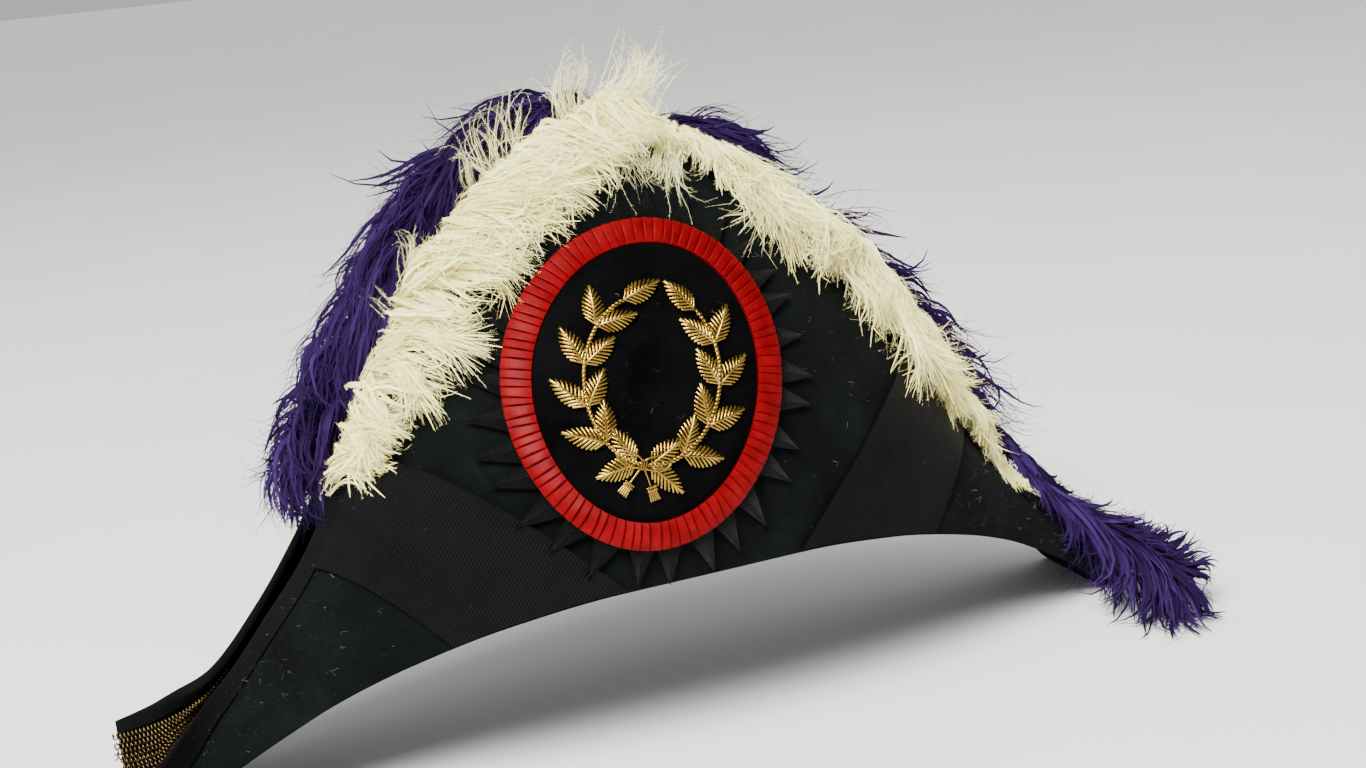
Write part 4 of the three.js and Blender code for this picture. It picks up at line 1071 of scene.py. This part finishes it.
def feather(shape, line, rng, barb_width, barbule_length, tone, barbule_foot=0.052):
    """Barbs along given lines, each a strip fringed with fine barbules on both sides."""
    count = len(line)
    forward, sideways, width = barb_strips(shape, line, rng, barb_width, tone)
    at = np.sort(rng.uniform(0.02, 1.0, (count, BARBULES_PER_BARB)), axis=1)
    step = np.clip((at * (BARB_STEPS - 1)).astype(int), 0, BARB_STEPS - 2)
    part = (at * (BARB_STEPS - 1) - step)[..., None]
    barb = np.arange(count)[:, None]

    def along_barb(values):
        return values[barb, step] * (1 - part) + values[barb, step + 1] * part

    root, ahead, across = along_barb(line), unit(along_barb(forward)), unit(along_barb(sideways))
    upwards = np.cross(ahead, across)
    size = (count, BARBULES_PER_BARB, 1)
    side = np.where(np.arange(BARBULES_PER_BARB) % 2, 1.0, -1.0)[None, :, None]
    roll = rng.uniform(-0.8, 0.8, size)
    splay = rng.uniform(0.3, 0.75, size)
    out = (across * np.cos(roll) * side + upwards * np.sin(roll)) * np.sin(splay) + ahead * np.cos(splay)
    long = barbule_length[:, None, None] * rng.uniform(0.6, 1.25, size) * (1 - 0.5 * at[..., None] ** 2)
    foot = ahead * barbule_foot * barbule_length[:, None, None]
    root = root + across * side * along_barb(width) * 0.35
    corners = np.stack([root - foot, root + foot, root + out * long], 2)
    triangles = np.arange(count * BARBULES_PER_BARB * 3).reshape(-1, 3)
    tones = np.clip(np.repeat(tone, BARBULES_PER_BARB) + rng.normal(0, 0.1, count * BARBULES_PER_BARB), 0, 1)
    shape.add(corners, triangles, tone=np.repeat(tones, 3))


def barb_widths(layer, fine, broad, rng):
    """Broad downy barbs inside a plume, and fine ones on its outside."""
    inside = rng.uniform(0, 1, len(layer)) > layer + 0.15
    return np.where(inside, broad, fine) * rng.uniform(0.6, 1.3, len(layer))


def tufts(rows, side, rng):
    """Loose tufts that spring from an edge in wisps, and the barb of its wisp that each barb follows."""
    lines, guides, count = [], [], 0
    for row in rows:
        wisp = rng.integers(0, max(row.count // WISP_BARBS, 1), row.count)
        _, first, member = np.unique(wisp, return_index=True, return_inverse=True)
        guide = first[member]
        x = rng.uniform(row.x - row.spread, row.x + row.spread, row.count)[guide]
        x = x + rng.normal(0, 1.6, row.count)
        along, upright = edge_frame(x, side)
        root = leaf(x, 1.0, side) + upright * row.rise * rng.uniform(0.5, 1, (row.count, 1))
        root += rng.normal(0, 0.8, (row.count, 3))
        stray = rng.normal(0, 0.3, (row.count, 3))
        way = along * row.along + upright * row.upright + TOWARDS_BACK * row.back
        way = unit(way + stray[guide] + 0.4 * stray)
        share = rng.uniform(0.5, 1.2, (row.count, 1))
        long = row.length * (0.6 * share[guide] + 0.4 * share)
        drift = along * np.sign(row.along) * long
        lines.append(bezier3([
            root, root + upright * long * 0.3 + way * long * 0.15, root + way * long * 0.75,
            root + way * long + drift * 0.15 - upright * long * rng.uniform(-0.1, 0.2, (row.count, 1))]))
        guides.append(guide + count)
        count += row.count
    return np.concatenate(lines), np.concatenate(guides)


def white_edge(density, count, rng):
    """Barbs that hang from the near edge, with their layers, fullness and tones; the tones paint shade into
    the deeper layers.
    """
    reach, sweep, puff, lift, hold = columns_of(WHITE_ROWS)
    x = spread_by(density, count, rng)
    layer = rng.uniform(0, 1, count)
    key = np.stack([x, layer * 12], -1)
    tress, guide = (locks(key, rng, barbs_per_lock) for barbs_per_lock in (110, 22))
    lean = rng.normal(0, 20, count)
    angle = np.radians(sweep(x) + lean[tress] + 0.8 * lean[guide] + 0.35 * lean)[:, None]
    share = rng.uniform(0.5, 1.2, count)
    share = 0.35 * share[tress] + 0.35 * share[guide] + 0.3 * share
    long = reach(x) / np.cos(np.radians(sweep(x))) * share
    edge_slope = (slant(x + 1) - slant(x - 1)) / 2
    steep = np.hypot(1, edge_slope)[:, None]
    # Ways in the leaf's own plane of (x, distance up the leaf)
    inwards = np.stack([edge_slope, -np.ones(count)], -1) / steep
    onwards = np.stack([np.ones(count), edge_slope], -1) / steep
    way = inwards * np.cos(angle) + onwards * np.sin(angle)
    along, upright = edge_frame(x, NEAR)

    def hang(part, height):
        at = np.clip(x + way[:, 0] * long * part, -TIP_X, TIP_X)
        fallen = np.minimum(slant(x) + way[:, 1] * long * part, slant(at) - 0.5)
        return on_leaf(at, fallen, NEAR, height) + upright * hold(x)[:, None]

    thick = puff(x) * (0.25 + 0.85 * layer)
    root = leaf(x, 1.0, NEAR) + upright * (0.35 * lift(x) + rng.normal(0, 1.5, count))[:, None]
    full = np.clip(reach(x) / 12, 0.3, 1)
    root += rng.normal(0, 1.6, (count, 3)) * full[:, None]
    rise = (lift(x) * rng.uniform(0.2, 1.6, count))[:, None]
    line = bezier3([
        root,
        root + upright * rise + TOWARDS_BACK * rng.uniform(-9, 5, (count, 1)) + along * rise * 0.4,
        hang(0.5, thick * 1.1 + 1.5),
        hang(1.0, 2.5 + thick * rng.uniform(0.1, 0.9, count)),
    ])
    line = clumped(clumped(line, tress, rng, pull=0.4), guide, rng, pull=0.65)
    line = wavy(line, rng, together=5.5, alone=1.6)
    line = curled(line, guide, rng, WHITE_FACING, share=0.45, most=2.2)
    line = off_near_leaf(line, rng.uniform(2.2, 4.5, count))
    # Painted shade: barbs in deeper layers get darker tones, over random light and dark locks
    tone = rng.normal(0, 0.17, count)
    tone = np.clip(0.38 + 0.35 * layer + tone[guide] + 0.6 * tone, 0, 1)
    return line, layer, full, tone


def white_plume(density, loose, name, node, seed):
    rng = np.random.default_rng(seed)
    shape = Shape()
    line, layer, full, tone = white_edge(density, WHITE_BARBS, rng)
    feather(shape, line, rng, barb_widths(layer, 0.34, 2.0, rng), 2.1 * full, tone)
    stray, wisp = tufts(loose, NEAR, rng)
    stray = wavy(stray, rng, together=6, alone=1.0)
    stray = curled(stray, wisp, rng, WHITE_FACING, share=0.6, most=2.6)
    stray = off_near_leaf(stray, rng.uniform(2.2, 4.5, len(stray)))
    fine = rng.uniform(0.16, 0.3, len(stray))
    # Painted light: the loose wisps get a light tone, for light passing through them like the plume's outer
    # barbs
    feather(shape, stray, rng, fine, np.full(len(stray), 2.4), np.full(len(stray), 0.8), barbule_foot=0.026)
    shape.piece(name, WHITE_LOOK, [node], smooth=False)


def purple_edge(density, count, rng, stature=1.0):
    """Barbs that spring from a shaft along the far edge, fill out to a rounded crest and flow along it."""
    reach, sweep, front, back, lift = columns_of(PURPLE_ROWS)
    x = spread_by(density, count, rng)
    fill = stature * np.minimum(rng.uniform(0.4, 1.4, count), 1) * rng.uniform(0.92, 1.04, count)
    around = rng.uniform(-1.75, 1.35, count)
    guide = locks(np.stack([x, around * 10], -1), rng, 18)
    share = rng.uniform(0.5, 1.3, count)
    run = np.linalg.norm(leaf(x + 0.5, 1.0, FAR) - leaf(x - 0.5, 1.0, FAR), axis=-1)
    flow = stature * sweep(x) / run * (0.5 * share[guide] + 0.5 * share)

    def crest(part, roll, size):
        """Places on the plume's rounded outside, part of the way along the flow."""
        at = np.clip(x + flow * part, PURPLE_ROWS[0].x, PURPLE_ROWS[-1].x)
        turn = around + roll * np.sign(around)
        deep = np.where(turn < 0, front(at), back(at))
        up = lift(at) + reach(at) * np.cos(turn) * fill * size
        out = deep * np.sin(turn) * fill * size
        upright = edge_frame(at, FAR)[1]
        return leaf(at, 1.0, FAR) + upright * up[:, None] + TOWARDS_BACK * out[:, None]

    foot = leaf(x, 1.0, FAR) + edge_frame(x, FAR)[1] * (lift(x) * rng.uniform(0, 1, count))[:, None]
    root = foot + rng.normal(0, 1.4, (count, 3))
    line = bezier3([root, crest(0.1, 0, 0.9), crest(0.6, 0.25, 1.1), crest(1.1, 0.7, 0.95)])
    line = wavy(clumped(line, guide, rng, pull=0.6), rng, together=3.0, alone=1.2)
    line = curled(line, guide, rng, PURPLE_FACING, share=0.42, most=2.5)
    return line, fill, lock_tones(guide, rng)


def drooping_head(count, rng):
    """Barbs of the free end: they leave its shaft on both sides, run forward and curl."""
    run = run_along(SHAFT)
    axes = [smooth_column(run / run[-1], SHAFT[:, k]) for k in range(3)]

    def shaft(where):
        return np.stack([axis(where) for axis in axes], -1)

    where = rng.uniform(0, 1, count) ** 0.7
    root = shaft(where) + rng.normal(0, 1.2, (count, 3))
    forward = unit(shaft(np.minimum(where + 0.03, 1)) - shaft(where - 0.03))
    facing = np.array([-0.3, -0.8, 0.52])
    across = unit(np.cross(facing, forward))
    side = rng.uniform(-1, 1, count)
    guide = locks(np.stack([where * 60, side * 14], -1), rng, 16)
    full = np.clip((where - 0.28) / 0.35, 0, 1)
    blunt = np.clip((where - 0.6) / 0.4, 0, 1)[:, None]
    share = rng.uniform(0.65, 1.12, count)
    long = np.where(side > 0, 11 + 13 * full, 13 + 27 * full) * (0.5 * share[guide] + 0.5 * share)
    long = long[:, None]
    fan = np.where(side > 0, 0.25, 0.85)[:, None]
    spread = (side * (0.3 + 0.45 * full))[:, None] * (1 + fan * blunt)
    ahead = (1 - 0.25 * blunt) * (1 - 0.55 * blunt * side[:, None] ** 2)
    bulk = rng.uniform(-0.4, 0.4, (count, 1)) * (0.3 + full[:, None])
    fall = np.where(side > 0, 0.05, 0.3)[:, None] * np.array([0, 0, 1.0])
    onward, aside, outward = forward * long, across * spread * long, facing * bulk * long
    line = bezier3([
        root,
        root + onward * 0.3 + aside * 0.15 + outward * 0.5,
        root + onward * ahead * 0.9 + aside * 0.6 + outward,
        root + onward * ahead + aside * 0.95 + outward * 0.8 - fall * long])
    line = wavy(clumped(line, guide, rng, pull=0.45), rng, together=2.0, alone=1.0)
    line = curled(line, guide, rng, facing, share=0.6, most=2.8)
    # Barbs that would sink into the floor lie on it, further forward
    sunk = np.maximum(FLOOR_CLEARANCE - line[..., 2:], 0)
    line = line + sunk * np.array([-0.1, -0.6, 1.0])
    line[..., 1] = np.maximum(line[..., 1], FURTHEST_FORWARD)
    return line, lock_tones(guide, rng), shaft(np.linspace(0, 1, 40))


def purple_plume(density, count, loose, name, node, seed, head_barbs=0):
    rng = np.random.default_rng(seed)
    shape = Shape()
    stray, wisp = tufts(loose, FAR, rng)
    stray = wavy(stray, rng, together=3.5, alone=1.8)
    stray = curled(stray, wisp, rng, PURPLE_FACING, share=0.5, most=2.4)
    line, fill, tone = purple_edge(density, count, rng)
    line = np.concatenate([line, stray])
    layer = np.concatenate([fill, np.ones(len(stray))])
    tone = np.concatenate([tone, np.full(len(stray), 0.45)])
    if head_barbs:
        head, head_tone, quill = drooping_head(head_barbs, rng)
        line = np.concatenate([line, head])
        layer = np.concatenate([layer, rng.uniform(0.6, 1, head_barbs)])
        tone = np.concatenate([tone, head_tone])
        shape.tube(quill, np.linspace(0.9, 0.3, len(quill)), 8, tone=0.9)
    line[..., 2] = np.maximum(line[..., 2], FLOOR_CLEARANCE)
    feather(shape, line, rng, barb_widths(layer - 0.3, 0.5, 2.4, rng), np.full(len(line), 1.8), tone)
    all_along = [(density[0][0], 1.0), (density[-1][0], 1.0)]
    down, _, down_tone = purple_edge(all_along, DOWN_BARBS, rng, stature=0.45)
    barb_strips(shape, down, rng, rng.uniform(1.8, 3.4, DOWN_BARBS), down_tone)
    shape.piece(name, PURPLE_LOOK, [node], smooth=False)


# Lint

LINT_FIBRES, LINT_RADIUS, LINT_SPAN = 900, 0.034, 200


def lint(count, name, seed):
    """Short stray fibres lying on the near leaf, the ribbons and the velvet."""
    rng = np.random.default_rng(seed)
    shape = Shape()
    x = rng.uniform(-LINT_SPAN, LINT_SPAN, count)
    up = rng.uniform(0.04, 0.9, count) * slant(x)
    angle = rng.uniform(0, 2 * math.pi, count)
    long = rng.uniform(0.5, 2.6, count)
    on_oval = rng.uniform(0, 1, count) < 0.06
    p, q = rng.uniform(-1, 1, (2, count))
    for k in range(count):
        step = np.array([math.cos(angle[k]), math.sin(angle[k])]) * long[k]
        bend = np.array([-step[1], step[0]]) * rng.normal(0, 0.45)
        curve = np.array([[0, 0], step * 0.5 + bend, step])
        if on_oval[k]:
            flat = curve + RING_INNER * 0.68 * [p[k], q[k]]
            line = on_rosette(flat[:, 0], flat[:, 1], VELVET_TOP + 0.25)
        else:
            heights = [0.25, 1.9, 0.3] if abs(x[k]) > 40 else [0.3, 0.9, 0.3]
            line = on_leaf(x[k] + curve[:, 0], np.clip(up[k] + curve[:, 1], 1, None), NEAR, heights)
        shape.tube(line, LINT_RADIUS, 3, tone=rng.uniform(0, 1) ** 3)
    shape.piece(name, LINT_LOOK, [])


brim()
crown()
binding(NEAR, "near_edge_binding", "near_binding")
binding(FAR, "far_edge_binding", "far_binding")
ribbon(-1, "left_grosgrain", "left_ribbon")
ribbon(1, "right_grosgrain", "right_ribbon")
rosette_points()
rosette_pleats()
rosette_oval()
wreath()
tip_tassel(-1, "left_bullion", "left_tip_tassel")
tip_tassel(1, "right_bullion", "right_tip_tassel")
white_plume(WHITE_LEFT_DENSITY, WHITE_TUFTS_LEFT, "white_ostrich_left", "white_plume_left", 101)
white_plume(WHITE_RIGHT_DENSITY, WHITE_TUFTS_RIGHT, "white_ostrich_right", "white_plume_right", 102)
purple_plume(
    LEFT_DENSITY, PURPLE_LEFT_BARBS, PURPLE_TUFTS_LEFT, "purple_ostrich_left", "purple_plume_left", 103)
purple_plume(
    RIGHT_DENSITY, PURPLE_RIGHT_BARBS, PURPLE_TUFTS_RIGHT, "purple_ostrich_right", "purple_plume_right", 104,
    head_barbs=HEAD_BARBS)
lint(LINT_FIBRES, "stray_lint", 77)


# Floor, light and camera

FLOOR_HALF = 30.0
LIGHT_TARGET = (0, 0, 0.12)


def floor():
    look = Look("pale_floor", (0.74, 0.74, 0.73), 0.7)
    look.paint(look.ramp(look.noise(3, detail=3), [(0.3, (0.79, 0.79, 0.78)), (0.7, (0.84, 0.84, 0.83))]))
    mesh = bpy.data.meshes.new("floor")
    corners = [(-1, -1), (1, -1), (1, 1), (-1, 1)]
    mesh.from_pydata([(a * FLOOR_HALF, b * FLOOR_HALF, 0) for a, b in corners], [], [(0, 1, 2, 3)])
    mesh.materials.append(look.material)
    obj = placed("floor", mesh)


def aim(obj, place, target):
    obj.rotation_euler = (Vector(target) - Vector(place)).to_track_quat("-Z", "Y").to_euler()


def area_light(name, place, size, power, color=(1, 1, 1)):
    light = bpy.data.lights.new(name, "AREA")
    light.size = size
    light.energy = power
    light.color = color
    obj = placed(name, light)
    obj.location = place
    aim(obj, place, LIGHT_TARGET)


def window_light():
    light = bpy.data.lights.new("window", "SUN")
    light.energy = 1.95
    light.angle = math.radians(40)
    aim(placed("window", light), (-1.0, -0.55, 1.25), (0, 0, 0))


def studio():
    world = bpy.data.worlds.new("studio")
    bpy.context.scene.world = world
    world.use_nodes = True
    background = world.node_tree.nodes["Background"]
    background.inputs["Color"].default_value = (1, 1, 0.98, 1)
    background.inputs["Strength"].default_value = 0.53
    window_light()
    area_light("key", (-0.9, -1.0, 1.9), 1.0, 142, (1, 0.98, 0.95))
    area_light("back", (0.3, 1.4, 1.7), 1.2, 5)


def camera():
    yaw, elevation, roll = (math.radians(a) for a in (CAMERA_YAW, CAMERA_ELEVATION, CAMERA_ROLL))
    ahead = math.cos(elevation)
    forward = Vector((math.sin(yaw) * ahead, math.cos(yaw) * ahead, -math.sin(elevation)))
    level = Vector((math.cos(yaw), -math.sin(yaw), 0))
    upright = level.cross(forward)
    right = level * math.cos(roll) + upright * math.sin(roll)
    up = upright * math.cos(roll) - level * math.sin(roll)
    place = Vector((CAMERA_TARGET + HAT_ORIGIN) * MM) - forward * CAMERA_DISTANCE * MM
    data = bpy.data.cameras.new("camera")
    data.sensor_width = 36
    data.lens = CAMERA_LENS
    data.clip_start = 0.01
    obj = placed("camera", data)
    obj.matrix_world = Matrix.Translation(place) @ Matrix((right, up, -forward)).transposed().to_4x4()
    bpy.context.scene.camera = obj


floor()
studio()
camera()
